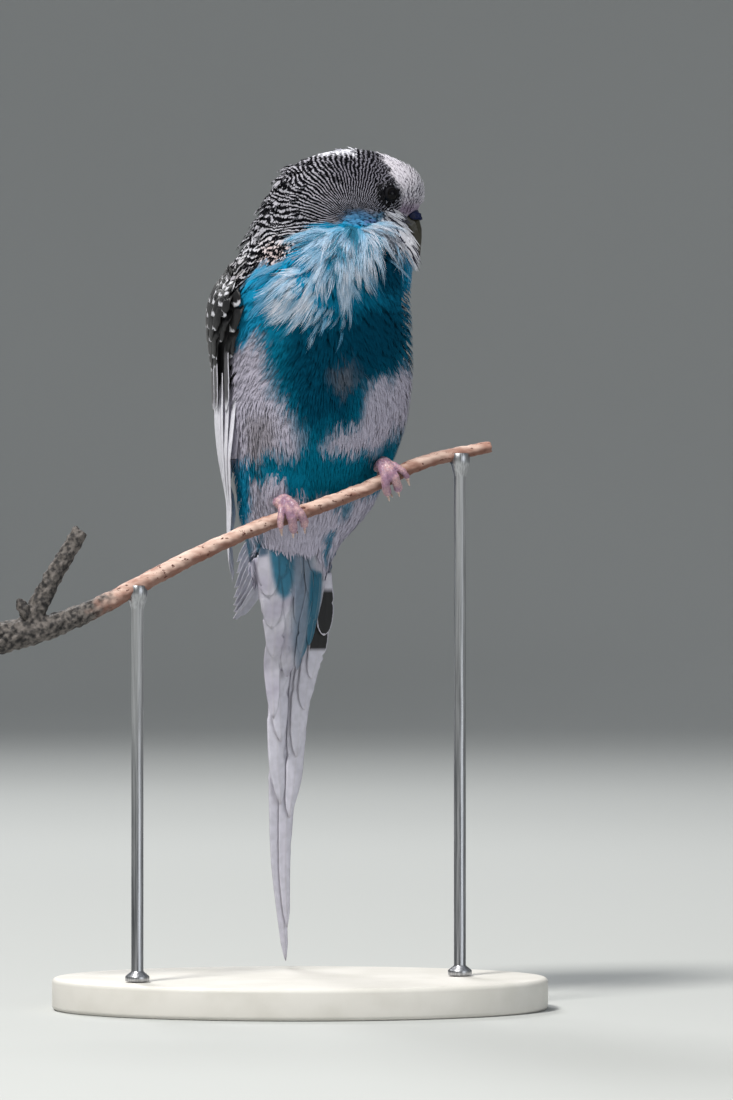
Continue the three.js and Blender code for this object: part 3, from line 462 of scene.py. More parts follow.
def horn_look(name, base, tip, low, high):
    """Horn with growth lines, changing colour from its base down to its tip."""
    look = Look(name, Roughness=0.34, Specular_IOR_Level=0.5)
    height = look.math("ADD", look.axis(look.place(), 2), look.wander(1.4, 3, 1.6))
    lines = look.noise(0.5, 3, stretch=(1, 1, 3.5))
    colour = look.blend(look.remap(height, low, high, 1.0, 0.0), srgb(*base), srgb(*tip))
    colour = look.shaded(colour, look.remap(lines, 0.3, 0.7, 0.82, 1.08))
    return look.finish(colour, look.remap(lines, 0.2, 0.8, 0.28, 0.45), look.bump(lines, 0.25, 0.08))


def foot_look():
    """Mauve-pink scales with creases darkened as painted shade."""
    look = Look("foot_skin", Roughness=0.5, Specular_IOR_Level=0.4, Subsurface_Weight=0.08,
                Subsurface_Scale=0.001)
    inputs = {"Vector": look.place(), "Scale": 1 / SCALE_SIZE}
    crease = look.remap(look.add("ShaderNodeTexVoronoi", inputs, feature="DISTANCE_TO_EDGE"), 0.0, 0.12)
    cloud = look.remap(look.noise(2.6, 2), 0.35, 0.65)
    colour = look.blend(cloud, srgb(146, 114, 134), srgb(192, 156, 158))
    # Painted shade: the creases between the scales are darker.
    colour = look.blend(look.remap(crease, 0, 1, 0.45, 0.0), colour, srgb(116, 86, 106))
    return look.finish(colour, look.remap(crease, 0, 1, 0.5, 0.36), look.bump(crease, 0.35, 0.06))


def bark_look():
    """Smooth pinkish bark with dark flecks and painted shade on its underside, rough and grey towards the
    thick end.
    """
    look = Look("bark", Roughness=0.7, Specular_IOR_Level=0.3)
    along_branch = look.math("ADD", look.axis(look.place(), 0), look.wander(3.0, 4, 16.0))
    old = look.remap(along_branch, -52.0, -44.0, 1.0, 0.0)
    streak = look.remap(look.noise(2.2, 4, stretch=(0.35, 1, 1)), 0.32, 0.68)
    young = look.blend(streak, srgb(164, 124, 110), srgb(218, 190, 176))
    # Painted shade: the bark is darker brown where its surface faces down.
    upward = look.axis(look.add("ShaderNodeNewGeometry", output=1), 2)
    young = look.blend(look.remap(upward, -0.5, 0.45, 0.85, 0.0), young, srgb(104, 66, 54))
    fleck = look.remap(look.noise(1.25, 4, stretch=(0.6, 1, 1), rough=0.7), 0.61, 0.65)
    young = look.blend(fleck, young, srgb(82, 44, 36))
    grey = look.blend(look.remap(look.noise(1.2, 5), 0.35, 0.65), srgb(40, 38, 38), srgb(104, 98, 94))
    relief = look.noise(0.8, 5)
    depth = look.math("MULTIPLY", relief, look.remap(old, 0, 1, 0.4, 1.6))
    normal = look.bump(depth, 0.5, 0.25, look.bump(fleck, 0.3, 0.08))
    return look.finish(look.blend(old, young, grey), look.remap(relief, 0.2, 0.8, 0.6, 0.85), normal)


def brushed_look():
    """Metal with fine lines along a rod."""
    look = Look("stand_rod", Metallic=1.0, Roughness=0.34)
    lines = look.noise(0.35, 2, stretch=(1, 1, 0.02))
    colour = look.blend(look.remap(lines, 0.3, 0.7), srgb(150, 151, 154), srgb(186, 187, 190))
    return look.finish(colour, look.remap(lines, 0.2, 0.8, 0.28, 0.42), look.bump(lines, 0.15, 0.03))


COAT = feather_look("coat")
SKIN = feather_look("skin")
VANE = vane_look()

# Colours of the plumage
WHITE = srgb(228, 228, 236)
LILAC = srgb(176, 172, 188)
# A mauve grey: painted shade in two of the marks below, and a plain grey tone of the chin and mantle
# feathers.
GREY_AND_SHADE = srgb(120, 114, 118)
BLUE = srgb(22, 134, 176)
PALE = srgb(118, 190, 228)
TEAL = srgb(6, 104, 132)
# The deepest teal is the teal in shade: wherever the marks lay it on, it is painted shade.
SHADED_TEAL = srgb(2, 58, 82)

# Marks on the side that the picture shows, in the order they are laid on: colour, strength,
# half width of the soft edge, and outline in x and z.
MARKS = [
    # Painted shade: deep teal over the middle of the breast and belly.
    (SHADED_TEAL, 0.9, 4.0, [(0, 170), (25, 177), (28, 170), (28, 162), (20, 158), (15, 152), (12, 146), (7, 145),
                      (1, 145), (-1, 149), (-4, 155), (-4, 163)]),
    # Painted shade: deep teal on the throat, under the white bib.
    (SHADED_TEAL, 0.95, 2.0, [(14.5, 191), (21, 192), (26, 187), (27, 178), (18, 177), (14, 184)]),
    (LILAC, 1.0, 1.8, [(32, 161), (24.5, 159), (19.5, 156), (17, 153), (16, 149), (14, 145), (7.5, 143),
                       (5.5, 140.5), (9, 138.5), (18, 139), (21, 142), (25, 142), (28, 146), (34, 155)]),
    (TEAL, 0.9, 1.2, [(19.5, 141), (25.5, 145), (27, 135), (21, 132)]),
    # Painted shade: a grey patch on the breast, below the plumes.
    (GREY_AND_SHADE, 0.45, 2.2, [(7.5, 159), (14, 160), (14.5, 155), (11, 154), (8, 155)]),
    (LILAC, 1.0, 2.6, [(-26, 166), (-10.5, 167), (-8, 160), (-6, 152), (-2.5, 147), (0.5, 142), (-0.5, 139),
                       (-9.5, 138), (-15, 136), (-20, 137), (-24, 145)]),
    # Painted shade: a grey patch in the white of the left flank.
    (GREY_AND_SHADE, 0.6, 2.4, [(-13.5, 147), (-7.5, 148), (-6, 141), (-9.5, 137), (-13.5, 138.5)]),
    (BLUE, 0.9, 1.4, [(-10.5, 185), (-3, 184), (-7, 175), (-12.5, 166), (-18.5, 164), (-17, 172),
                      (-14, 178.5)]),
    (BLUE, 0.5, 0.8, [(-16.8, 135), (-12.8, 138), (-12, 127), (-12.8, 120), (-15.5, 116), (-17.2, 125)]),
    (LILAC, 0.95, 1.0, [(-12.2, 131), (-4.2, 132), (-2.5, 126), (-3.5, 115), (-12, 114), (-12.8, 123)]),
    (LILAC, 1.0, 1.4, [(-12, 127), (7.5, 127), (18, 130), (24, 129), (19, 122), (11, 115), (8, 105),
                       (-14, 105)]),
    (TEAL, 0.8, 0.8, [(10, 127), (13, 127), (12, 124), (10, 124)]),
    (TEAL, 0.9, 0.8, [(5.5, 119), (8.5, 119), (7, 108)]),
    (TEAL, 0.9, 0.8, [(-12, 118), (-9, 118), (-8, 112), (-11, 113)]),
]
BIB = [(17, 197), (25, 198.5), (28, 196), (28, 186), (24, 187)]     # white under the bill, in x and z
# Oval spots of the cheek, of its lower edge and by the bill: colour, strength, middle in x and z, half
# sizes, and share of them where the edge starts to fade.
HEAD_SPOTS = [
    (srgb(96, 142, 184), 0.65, (14.0, 197.2), (4.0, 2.0), 0.7),
    (srgb(84, 112, 156), 1.0, (17.8, 195.8), (1.6, 1.2), 0.6),
    (srgb(44, 42, 96), 0.9, (23.6, 197.4), (2.4, 1.0), 0.6),
]
SPOT_END = 1.3      # share of the half sizes where a spot has faded away
# Painted shade greys the pale of the head most round this place.
CHEEK = np.array([19, -8, 200])     # the head is greyest within 9 mm of this place
# Lower edge of the barred feathers on the head and mantle, by x.
BAR_EDGE = np.array([
    [-24, 166], [-19.5, 172], [-17, 176], [-13, 182], [-10.5, 185], [-3.8, 185.5], [0, 187.5], [1.8, 193],
    [5, 194.8], [10, 196.3], [13, 198.6], [17.5, 199.2], [21.3, 198.5], [25, 197.5], [34, 197],
])


def within(x, z, outline, soft):
    """1 inside an outline and 0 outside it, with a soft edge."""
    away = np.full(len(x), 1e9)
    inside = np.zeros(len(x), bool)
    for (ax, az), (bx, bz) in zip(outline, outline[1:] + outline[:1]):
        run_x, run_z = bx - ax, bz - az
        t = np.clip(((x - ax) * run_x + (z - az) * run_z) / (run_x**2 + run_z**2), 0, 1)
        away = np.minimum(away, np.hypot(x - ax - run_x * t, z - az - run_z * t))
        if run_z:
            inside ^= ((az > z) != (bz > z)) & (x < ax + (z - az) * run_x / run_z)
    return smoothstep(-soft, soft, np.where(inside, away, -away))


def marked(colour, marks, x, z, shown=1):
    """A colour with a table's marks laid on it in turn."""
    for target, strength, soft, outline in marks:
        colour = mix(colour, target, within(x, z, outline, soft) * strength * shown)
    return colour


def layered(colour, *layers):
    """A colour with further ones laid over it in turn, each by its share."""
    for target, share in layers:
        colour = mix(colour, target, share)
    return colour


def facing_back(p):
    """1 on the bird's back, 0 on its breast, by the bearing from the way the breast faces."""
    x, y, turn, _, _ = body_section(p[:, 2])
    return smoothstep(98, 116, np.abs(bearing_round(p, x, y, turn)))


def forehead(p):
    """1 on the white forehead, 0 behind its edge."""
    edge = 25 - 0.55 * np.maximum(0, p[:, 2] - 204) + waves(p, 3, 13) * 0.5
    return smoothstep(-0.7, 0.7, p[:, 0] - edge) * smoothstep(196.5, 198.5, p[:, 2])


def bar_strength(p, up):
    """Where the feathers carry bars: the crown, nape, cheeks and mantle, but not the forehead."""
    wander = waves(p, 7, 3) * 0.7
    edge = np.interp(p[:, 0], BAR_EDGE[:, 0], BAR_EDGE[:, 1])
    shown = smoothstep(-0.9, 0.7, p[:, 2] - edge + wander)
    back = facing_back(p) * smoothstep(148, 157, p[:, 2] + wander * 3)
    away = smoothstep(-0.1, 0.25, up[:, 1]) * smoothstep(194, 186, p[:, 2])
    strength = shown * (1 - away) + back * away
    cap = smoothstep(212.6, 214, p[:, 2] + waves(p, 4, 15) * 0.6)
    cap = cap * smoothstep(3, 5, p[:, 0]) * smoothstep(14, 12, p[:, 0])
    return strength * (1 - forehead(p)) * (1 - 0.85 * cap)


def bar_phase(p):
    """Count of bars passed: spokes round the head, and level lines down the back."""
    on_back = smoothstep(192, 182, p[:, 2]) * smoothstep(4, 14, p[:, 1])
    x = p[:, 0] * (1 - on_back) - 20 * on_back
    turn = np.arctan2(p[:, 2] - SPOKES[2], x - SPOKES[0])
    turn = np.where(turn < -np.pi / 2, turn + 2 * np.pi, turn)
    nape = smoothstep(8, -6, p[:, 0])
    from_hub = np.hypot(p[:, 0] - SPOKES[0] - 2, p[:, 2] - SPOKES[2])
    speck = smoothstep(9.5, 5, from_hub) + smoothstep(17, 20, p[:, 0]) * smoothstep(200, 203, p[:, 2])
    wander = waves(p, 3.2, 21) * (0.18 + 0.3 * nape) + waves(p, 7, 22) * (0.35 + 0.6 * nape)
    return turn / SPOKE_STEP + wander + waves(p, 1.5, 24) * 0.5 * np.minimum(1, speck)


def plumage(p, up):
    """Base colour of body feathers at places on the skin."""
    x, z = p[:, 0], p[:, 2]
    x_soft = x + waves(p, 6, 31) * 0.8
    z_soft = z + waves(p, 6, 32) * 1.0
    # Deeper teal low on the body and bluer high on the breast: partly the plumage's own colour, partly
    # painted shade on the belly.
    colour = mix(TEAL, BLUE, smoothstep(160, 184, z + waves(p, 12, 5) * 3))
    back = facing_back(p)
    shown = smoothstep(-0.6, -0.3, -up[:, 1]) * (1 - back * smoothstep(-0.2, 0.1, up[:, 1]))
    colour = marked(colour, MARKS, x_soft, z_soft, shown)
    rump = smoothstep(-0.7, 0.9, waves(p * np.array([1, 1, 0.6]), 13, 9))
    pink = smoothstep(192, 189, z) * smoothstep(183, 186, z) * smoothstep(-12, -8, x)
    away = back * smoothstep(0.0, 0.3, up[:, 1])
    brow = forehead(p)
    # The pale of the barred head feathers: painted shade greys it round the cheek, over most of the head and
    # over the crown above the eye, and painted light whitens the top of the crown over its white cap. It is a
    # paler grey down the nape and pinkish on the mantle.
    cheek_shade = smoothstep(27, 9, np.linalg.norm(p - CHEEK, axis=1))
    head = layered(
        mix(WHITE * 0.9, srgb(118, 116, 130), cheek_shade * (1 - brow)),
        (srgb(150, 148, 158), smoothstep(186, 195, z) * 0.75),
        (srgb(92, 90, 100), smoothstep(203, 208, z) * smoothstep(4, 10, x) * 0.6),
        (WHITE, smoothstep(211.5, 214, z) * smoothstep(16, 12, x)),
        (srgb(168, 164, 172), smoothstep(190, 184, z) * 0.8),
        (srgb(206, 184, 182), pink * 0.7),
    )
    colour = layered(
        colour,
        (mix(BLUE, LILAC, rump), away * smoothstep(172, 160, z)),
        (LILAC, smoothstep(112, 107, z)),
        (head, np.maximum(bar_strength(p, up), smoothstep(196.5, 199.5, z + waves(p, 5, 33) * 0.6))),
        (srgb(208, 204, 212), brow),
        (srgb(128, 112, 134), brow * smoothstep(203.5, 199.5, z) * 0.9),
        (WHITE, within(x + waves(p, 4, 34) * 0.5, z_soft, BIB, 1.2) * 0.9),
    )
    for target, strength, (spot_x, spot_z), (half_x, half_z), start in HEAD_SPOTS:
        share = 1 - smoothstep(start, SPOT_END, np.hypot((x - spot_x) / half_x, (z - spot_z) / half_z))
        colour = mix(colour, target, share * strength)
    return colour


# Skin

heights = np.concatenate([
    BODY[0, 0] - (BODY[0, 0] - BODY_BOTTOM) * np.cos(np.radians(np.linspace(5, 80, 8))),
    np.linspace(BODY[0, 0] + 0.5, BODY[-1, 0], 90),
    BODY[-1, 0] + CROWN_RISE * np.sin(np.radians(np.linspace(5, 88, 20))),
])
grid_z, grid_a = np.meshgrid(heights, circle(96), indexing="ij")
face = smoothstep(11, 4, np.linalg.norm(body_point(grid_a, grid_z, 0) - BILL_BASE, axis=-1))
coat_depth = smooth_at(COAT_DEPTH, grid_z)[..., 0] * (1 - 0.6 * face)
body_rings = body_point(grid_a, grid_z, -coat_depth)
body_rings[..., 2] -= coat_depth * smoothstep(BODY[-1, 0], BODY[-1, 0] + CROWN_RISE, grid_z)
body_points, body_faces = ring_surface(body_rings)

tongue_z = np.linspace(UNDERTAIL[0, 0], UNDERTAIL[-1, 0], 40)[:, None]
x, y, wide, thick = tabled(UNDERTAIL, tongue_z)
tongue_points, tongue_faces = ring_surface(
    np.stack([x, y, tongue_z], -1) + TAIL_ACROSS * (wide * np.cos(circle(48)))[..., None]
    + TAIL_FORWARD * (thick * np.sin(circle(48)))[..., None])
skin_points, skin_quads = remeshed(
    np.vstack([body_points, tongue_points]),
    body_faces + [block + len(body_points) for block in tongue_faces], 0.75, 6)
skin_normals = vertex_normals(skin_points, skin_quads)
quad_normals = unit(skin_normals[skin_quads].sum(1))
skin_tree = BVHTree.FromPolygons([Vector(p) for p in skin_points], skin_quads.tolist())


UNWRAP_LOW = 80         # height at the lower edge of the unwrap
UNWRAP_HIGH = 140       # height that the unwrap takes in
UNWRAP_RIM = 0.02


def unwrap(p):
    """Place on an unwrap of the skin's own shape: bearing round the body, and height."""
    x, y, _, _, _ = body_section(p[:, 2])
    bearing = np.arctan2(p[:, 0] - x, p[:, 1] - y) / (2 * np.pi) + 0.5
    height = (p[:, 2] - UNWRAP_LOW) / UNWRAP_HIGH
    return UNWRAP_RIM + (1 - 2 * UNWRAP_RIM) * np.stack([bearing, height], -1)


def nearest(q):
    """Nearest places on the skin, with smooth normals."""
    places = np.empty_like(q)
    ups = np.empty_like(q)
    for i, point in enumerate(q):
        location, _, index, _ = skin_tree.find_nearest(Vector(point))
        places[i] = location
        ups[i] = quad_normals[index]
    return places, ups


# The skin shows only in the coat's gaps. It carries the plumage colours darkened to 0.85: painted shade.
skin = make_object(
    "skin", skin_points, [skin_quads], SKIN,
    tint=plumage(skin_points, skin_normals) * 0.85,
    floats={"phase": bar_phase(skin_points), "bar": bar_strength(skin_points, skin_normals)},
    uv=unwrap(skin_points),
)
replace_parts(skin, "torso", "neck", "head", "undertail")


# Surfaces that the wings lie on

CARRIER = np.array([   # height, x, y, half sizes across and along the way the breast faces
    [90, -1.4, 21.2, 15.4, 8.8],
    [100, -1.6, 20.0, 15.6, 9.6],
    [109, -2.1, 18.2, 14.6, 11.0],
    [117, -1.5, 16.5, 15.4, 13.2],
    [128, 1.6, 13.9, 18.8, 15.6],
    [134, 2.4, 12.4, 20.0, 17.0],
    [141, 3.1, 10.7, 21.4, 18.4],
    [150, 4.1, 8.6, 20, 18],
    [160, 4.4, 6.3, 18, 17],
    [170, 3.9, 3.8, 18, 17],
    [177, 3.8, 1.9, 18, 17],
    [184, 5.2, 0.2, 18, 17],
])
# Leading and trailing edge of each wing, as bearing from the breast and height, and how far it stands
# off what it lies on, all in even steps down the wing.
WINGS = {
    "wing_right": {
        "side": -1,
        "leading": [[92, 181], [78, 175], [88, 164], [88, 152], [86, 140], [92, 128], [100, 116], [121, 107]],
        "trailing": [[118, 184], [155, 179], [170, 166], [173, 152], [170, 140], [156, 128], [142, 117],
                     [124, 106]],
        "lift": [[0], [0], [0], [0], [0], [0], [0.1], [0.3]],
    },
    "wing_left": {
        "side": 1,
        "leading": [[102, 181], [96, 175], [94, 164], [90, 152], [92, 140], [112, 125], [158, 111],
                    [196, 100], [221, 96]],
        "trailing": [[118, 184], [155, 179], [170, 166], [173, 153], [176, 142], [184, 131], [203, 117],
                     [224, 107], [236, 99]],
        "lift": [[0], [0], [0], [0], [0.3], [1.3], [3.0], [3.6], [3.2]],
    },
}
WING_TURN = 30          # the way the breast faces
WING_TUCK = 3.0         # how deep the shoulder dips under the body's feathers
DEGREE = 0.32           # about how far a wing reaches for each degree of bearing
SHELL_INNER = 0.45      # inner face of the plate, over what the wing lies on
SHELL_TOP = 1.55        # where the feathers lie, over the same
# Tiers: number, start and end down the wing for the first and last feather, distances from the
# leading edge at the start and the end, half width, height over the shell at root and tip, and
# whether the tier is spread over the whole width of the wing.
TIER_KEYS = ("name", "count", "from", "to", "near", "far", "half", "lift", "full")
TIER_ROWS = [
    ("secondary", 8, (0.3, 0.3), (0.74, 0.57), (10, 26), (10, 26), 2.6, (-0.6, 0.2), True),
    ("primary", 7, (0.36, 0.32), (0.99, 0.8), (1.8, 10), (1.8, 10.5), 2.3, (-0.5, 0.35), False),
    ("greater", 11, (0.2, 0.18), (0.46, 0.4), (2.4, 27), (2.4, 27.5), 2.2, (-0.6, 0.75), True),
    ("median", 11, (0.2, 0.2), (0.345, 0.32), (1.6, 22), (2, 26), 2.0, (-0.5, 0.95), True),
]
# Rows of small scalloped feathers over the shoulder, from the lowest row up.
LESSER = {"rows": 8, "count": 8, "first": 0.3, "step": 0.038, "length": 0.1, "near": 1.2, "far": 25,
          "half": 2.7}
for row in range(LESSER["rows"]):
    end = LESSER["first"] - LESSER["step"] * row
    near = LESSER["near"] + 1.7 * (row % 2)
    far = LESSER["far"] - 1.4 * row
    TIER_ROWS.append(("lesser", LESSER["count"], (end - LESSER["length"],) * 2, (end,) * 2, (near, far - 2),
                      (near, far), LESSER["half"], (-0.4, 1.0 + 0.06 * row), True))
TIERS = [dict(zip(TIER_KEYS, row)) for row in TIER_ROWS]
# Share of a feather's half width, by share of its length from the root.
FLIGHT_BLADE = [
    [0, 0.5], [0.18, 0.82], [0.36, 0.96], [0.54, 1], [0.74, 0.97], [0.88, 0.8], [0.96, 0.5], [1, 0.05],
]
COVERT_BLADE = [[0, 0.5], [0.35, 0.95], [0.65, 1], [0.85, 0.82], [0.95, 0.5], [1, 0.05]]
LONG_BLADE = [[0, 0.8], [0.2, 1], [0.45, 0.93], [0.7, 0.7], [0.88, 0.5], [0.96, 0.34], [1, 0.05]]
VANE_THICK = 0.14
VANE_PATCH = 0.006      # size of one feather's patch in the bake map


def along(rows, t):
    """Smooth values at shares t of an evenly spaced list of rows."""
    rows = np.asarray(rows, float)
    rows = np.vstack([2 * rows[0] - rows[1], rows, 2 * rows[-1] - rows[-2]])
    s = np.clip(t, 0, 1) * (len(rows) - 3)
    i = np.minimum(s.astype(int), len(rows) - 4)
    f = (s - i)[..., None]
    a, b, c, d = (rows[i + k] for k in range(4))
    return 0.5 * (2 * b + (c - a) * f + (2 * a - 5 * b + 4 * c - d) * f**2 + (3 * b - a - 3 * c + d) * f**3)


def oval_reach(front, side, degrees):
    """How far an oval reaches from its middle, at bearings from the way it faces."""
    turn = np.radians(degrees)
    return 1 / np.hypot(np.cos(turn) / front, np.sin(turn) / side)


def carrier_point(side, bearing, z, lift):
    """Place on what a wing lies on: bearing from the breast on one side, height, and lift."""
    x, y, half, front = tabled(CARRIER, z)
    _, _, body_turn, body_front, body_side = body_section(z)
    turn = WING_TURN + side * bearing
    own = oval_reach(front, half, bearing)
    over_skin = oval_reach(body_front + 1e-6, body_side + 1e-6, turn - body_turn) + 0.42
    over_skin = np.where(z > BODY[0, 0], over_skin, 0)
    reach = (own + over_skin + np.hypot(own - over_skin, 0.8)) / 2
    return np.stack([x, y, z], -1) + level(turn) * (reach + lift)[..., None]


def wing_point(wing, run, share, lift):
    """Place on a wing, whose shoulder and leading edge dip under the body's feathers."""
    run, share, lift = np.broadcast_arrays(*(np.asarray(v, float) for v in (run, share, lift)))
    lead = along(wing["leading"], run)
    trail = along(wing["trailing"], run)
    place = mix(lead, trail, share)
    from_lead = np.abs(trail[..., 0] - lead[..., 0]) * share * DEGREE
    tuck = (1 - smoothstep(0, 5, from_lead)) * smoothstep(0.62, 0.4, run)
    tuck = np.maximum(tuck, 1 - smoothstep(0.0, 0.2, run))
    lift = lift - WING_TUCK * tuck
    return carrier_point(wing["side"], place[..., 0], place[..., 1], along(wing["lift"], run)[..., 0] + lift)


# Coat

def lie(p, up):
    """The way feathers lie: back from the bill, round the crown and nape, and down the body."""
    x, z = p[:, 0], p[:, 2]
    spoke_x, spoke_z = x - SPOKES[0], z - SPOKES[2]
    none = np.zeros(len(p))
    round_head = unit(np.stack([-spoke_z, none, spoke_x], -1))
    share = smoothstep(8, 16, np.hypot(spoke_x, spoke_z)) * smoothstep(23, 16, x) * smoothstep(186, 193, z)
    way = mix(unit(p - BILL_BASE), round_head, share)
    breast = smoothstep(146, 158, z) * smoothstep(196, 184, z) * smoothstep(0.1, -0.3, up[:, 1])
    aside = np.clip((x - 8) / 18, -1.1, 0.5) * breast
    down = np.stack([aside * 0.9, none, none - 1], -1)
    return square_to(mix(way, down, smoothstep(192, 182, z)), up)


STATIONS = 5                                      # places along a feather's middle line
LOCK_ALONG = np.array([0.04, 0.42, 0.74, 1.0])    # sections of one lock along its feather
LOCK_SPREAD = np.array([0.12, 0.72, 1.0, 0.92])   # how far it has left the shaft
LOCK_BROAD = np.array([0.35, 1.0, 0.8, 0.0])      # its own width
SECTION_POINTS = [3, 3, 3, 1]
LOCK_POINTS = sum(SECTION_POINTS)
RING_SIDES = [[0, 3, 4, 1], [1, 4, 5, 2], [2, 5, 3, 0]]
LOCK_FACES = np.array(
    [[a + 3 * k, b + 3 * k, c + 3 * k] for k in range(2) for a, b, c, _ in RING_SIDES]
    + [[a + 3 * k, c + 3 * k, d + 3 * k] for k in range(2) for a, _, c, d in RING_SIDES]
    + [[6, 9, 7], [7, 9, 8], [8, 9, 6], [0, 1, 2]]
)
LOCK_UNDERSIDE = [2, 5, 8, 11, 14]    # faces of a lock that look down on the skin
SCALLOP = 2.3                     # bar and gap together, counted from a feather's tip
LOWEST_FACING = -0.3              # hanging feathers keep facing outwards round the underside
BRIGHTEST = 0.92                  # no feather is whiter
TUFT_PATCH = (0.0012, 0.0028)     # half width and length of one feather's patch in the bake map


def turned(way, up, angle):
    """Directions turned about the normals by angles in radians."""
    return way * np.cos(angle)[:, None] + np.cross(up, way) * np.sin(angle)[:, None]


def paths_on_skin(roots, ups, length, rise, jitter, curl, heading=lie, level_off=3.0):
    """Middle lines of feathers that follow the skin: places, normals and headings."""
    count = len(roots)
    steer = rng.normal(0, jitter, count)
    bend = rng.normal(0, curl, count)
    places, normals, ways = [roots], [ups], []
    p, n = roots, ups
    for k in range(STATIONS):
        way = turned(heading(p, n), n, steer + bend * k)
        ways.append(way)
        if k < STATIONS - 1:
            p, n = nearest(p + way * (length / (STATIONS - 1))[:, None])
            places.append(p)
            normals.append(n)
    t = np.linspace(0, 1, STATIONS)
    lift = rise[:, None] * (1 - (1 - t) ** level_off)[None, :] - 0.15
    normals = np.stack(normals, 1)
    return np.stack(places, 1) + normals * lift[..., None], normals, np.stack(ways, 1)


def paths_between(roots, tips, bulge, front):
    """Middle lines of feathers that stand free of the skin, from root to tip in a shallow arch."""
    t = np.linspace(0, 1, STATIONS)[None, :, None]
    places = roots[:, None] + (tips - roots)[:, None] * t
    places = places + unit(front) * bulge[:, None, None] * np.sin(np.pi * t)
    headings = unit(np.gradient(places, axis=1))
    return places, square_to(front, headings), headings


def tufts(name, path, uv_root, length, width, locks, pale_tip=0.0, fray=0.1, ridge=0.5, soften=0.5,
          scallops=None, tint=None, shade=0.05, root_shade=0.82, blur=0.0, sag=0.3, broad=1.4):
    """One coat piece. Each feather is a fan of thin tapered locks round a middle line."""
    middle, normals, ways = path
    count = len(middle)
    u = np.linspace(-1, 1, locks)[None, :] + rng.normal(0, 0.35 / locks, (count, locks))
    arc = 1 - 0.28 * u**2
    s = (arc - rng.uniform(0, fray, (count, locks)) * 1.4)[..., None] * LOCK_ALONG
    cell = np.clip(s * (STATIONS - 1), 0, STATIONS - 1.001)
    i = cell.astype(int)
    f = (cell - i)[..., None]
    who = np.arange(count)[:, None, None]

    def at_sections(values):
        return values[who, i] * (1 - f) + values[who, i + 1] * f

    def three_sided(left, apex, right, end):
        """Three values for each of a lock's first sections and one for its end."""
        first = np.stack([left, apex, right], 3)[:, :, :3].reshape(count, locks, LOCK_POINTS - 1, 3)
        return np.concatenate([first, end[:, :, 3:]], 2)

    up = unit(at_sections(normals))
    way = unit(at_sections(ways))
    side = np.cross(up, way)
    wide = width[:, None, None]
    offset = u[..., None] * wide * LOCK_SPREAD
    drop = (u**2)[..., None] * LOCK_SPREAD**2 * wide * sag
    base = at_sections(middle) + side * offset[..., None] - up * drop[..., None]
    stray = rng.normal(0, 1, (count, locks, 2)) * (wide * fray)
    far = (LOCK_ALONG**2)[None, None, :, None]
    base = base + (side * stray[:, :, None, :1] + up * stray[:, :, None, 1:] * 0.5) * far
    half = (width / locks * broad)[:, None, None] * LOCK_BROAD
    half = half * rng.uniform(0.8, 1.25, (count, locks))[..., None]
    points = three_sided(base - side * half[..., None], base + up * (half * ridge)[..., None],
                         base + side * half[..., None], base).reshape(-1, 3)
    triangles = (LOCK_FACES[None] + (np.arange(count * locks) * LOCK_POINTS)[:, None, None]).reshape(-1, 3)

    smooth_up = np.repeat(up, SECTION_POINTS, 2)
    smooth_up[..., 2] = np.maximum(smooth_up[..., 2], LOWEST_FACING)
    own_up = unit(three_sided(up - side * 0.9, up, up + side * 0.9, up))
    facing = unit(mix(own_up, unit(smooth_up), soften)).reshape(-1, 3)
    corner_facing = facing[triangles].reshape(count * locks, len(LOCK_FACES), 3, 3)
    corner_facing[:, LOCK_UNDERSIDE] *= -1

    anchor, anchor_up = base[:, :, 2].reshape(-1, 3), up[:, :, 2].reshape(-1, 3)
    sampled = (base + way * rng.normal(0, blur, (count, locks, 1, 1)))[:, :, 2].reshape(-1, 3)
    colour = plumage(sampled, anchor_up) if tint is None else np.repeat(tint, locks, 0)
    strength = bar_strength(anchor, anchor_up) if tint is None else np.zeros(count * locks)
    tone = rng.normal(1, shade, (count, 1, 1, 1)) * rng.normal(1, shade, (count, locks, 1, 1))
    t_point = np.repeat(LOCK_ALONG, SECTION_POINTS)
    # Painted shade: each lock is darker towards its root, deep in the coat, and a touch lighter at its tip.
    depth = (root_shade + (1.04 - root_shade) * t_point)[None, None, :, None]
    colour = colour.reshape(count, locks, 1, 3) * depth * tone
    if np.any(pale_tip):
        colour = mix(colour, WHITE, pale_tip[:, None, None] * smoothstep(0.2, 0.85, t_point)[None, None, :])
    phase = bar_phase(points) + np.repeat(rng.normal(0, 0.05, count), locks * LOCK_POINTS)
    if scallops is not None:
        from_tip = np.repeat((arc[..., None] - s) * length[:, None, None], SECTION_POINTS, 2).ravel()
        share = np.repeat(scallops, locks * LOCK_POINTS)
        phase = np.where(share > rng.uniform(0.3, 0.7), 0.60 + from_tip / SCALLOP, phase)
    patch = np.stack(np.broadcast_arrays(u[:, :, None] * TUFT_PATCH[0], (t_point - 0.5) * TUFT_PATCH[1]), -1)
    uv = unwrap(uv_root)[:, None, None, :] + patch
    make_object(name, points, [triangles], COAT,
                tint=np.clip(colour, 0, BRIGHTEST).reshape(-1, 3),
                floats={"phase": phase, "bar": np.repeat(strength, LOCK_POINTS)}, uv=uv.reshape(-1, 2),
                normals=corner_facing.reshape(-1, 3))


def thinned(places, room):
    """Numbers of the places that stay when each that stays clears the room round it."""
    tree = KDTree(len(places))
    for i, place in enumerate(places):
        tree.insert(Vector(place), i)
    tree.balance()
    free = np.ones(len(places), bool)
    kept = []
    for i, place in enumerate(places):
        if free[i]:
            kept.append(i)
            for _, j, _ in tree.find_range(Vector(place), room[i]):
                free[j] = False
    return np.array(kept)


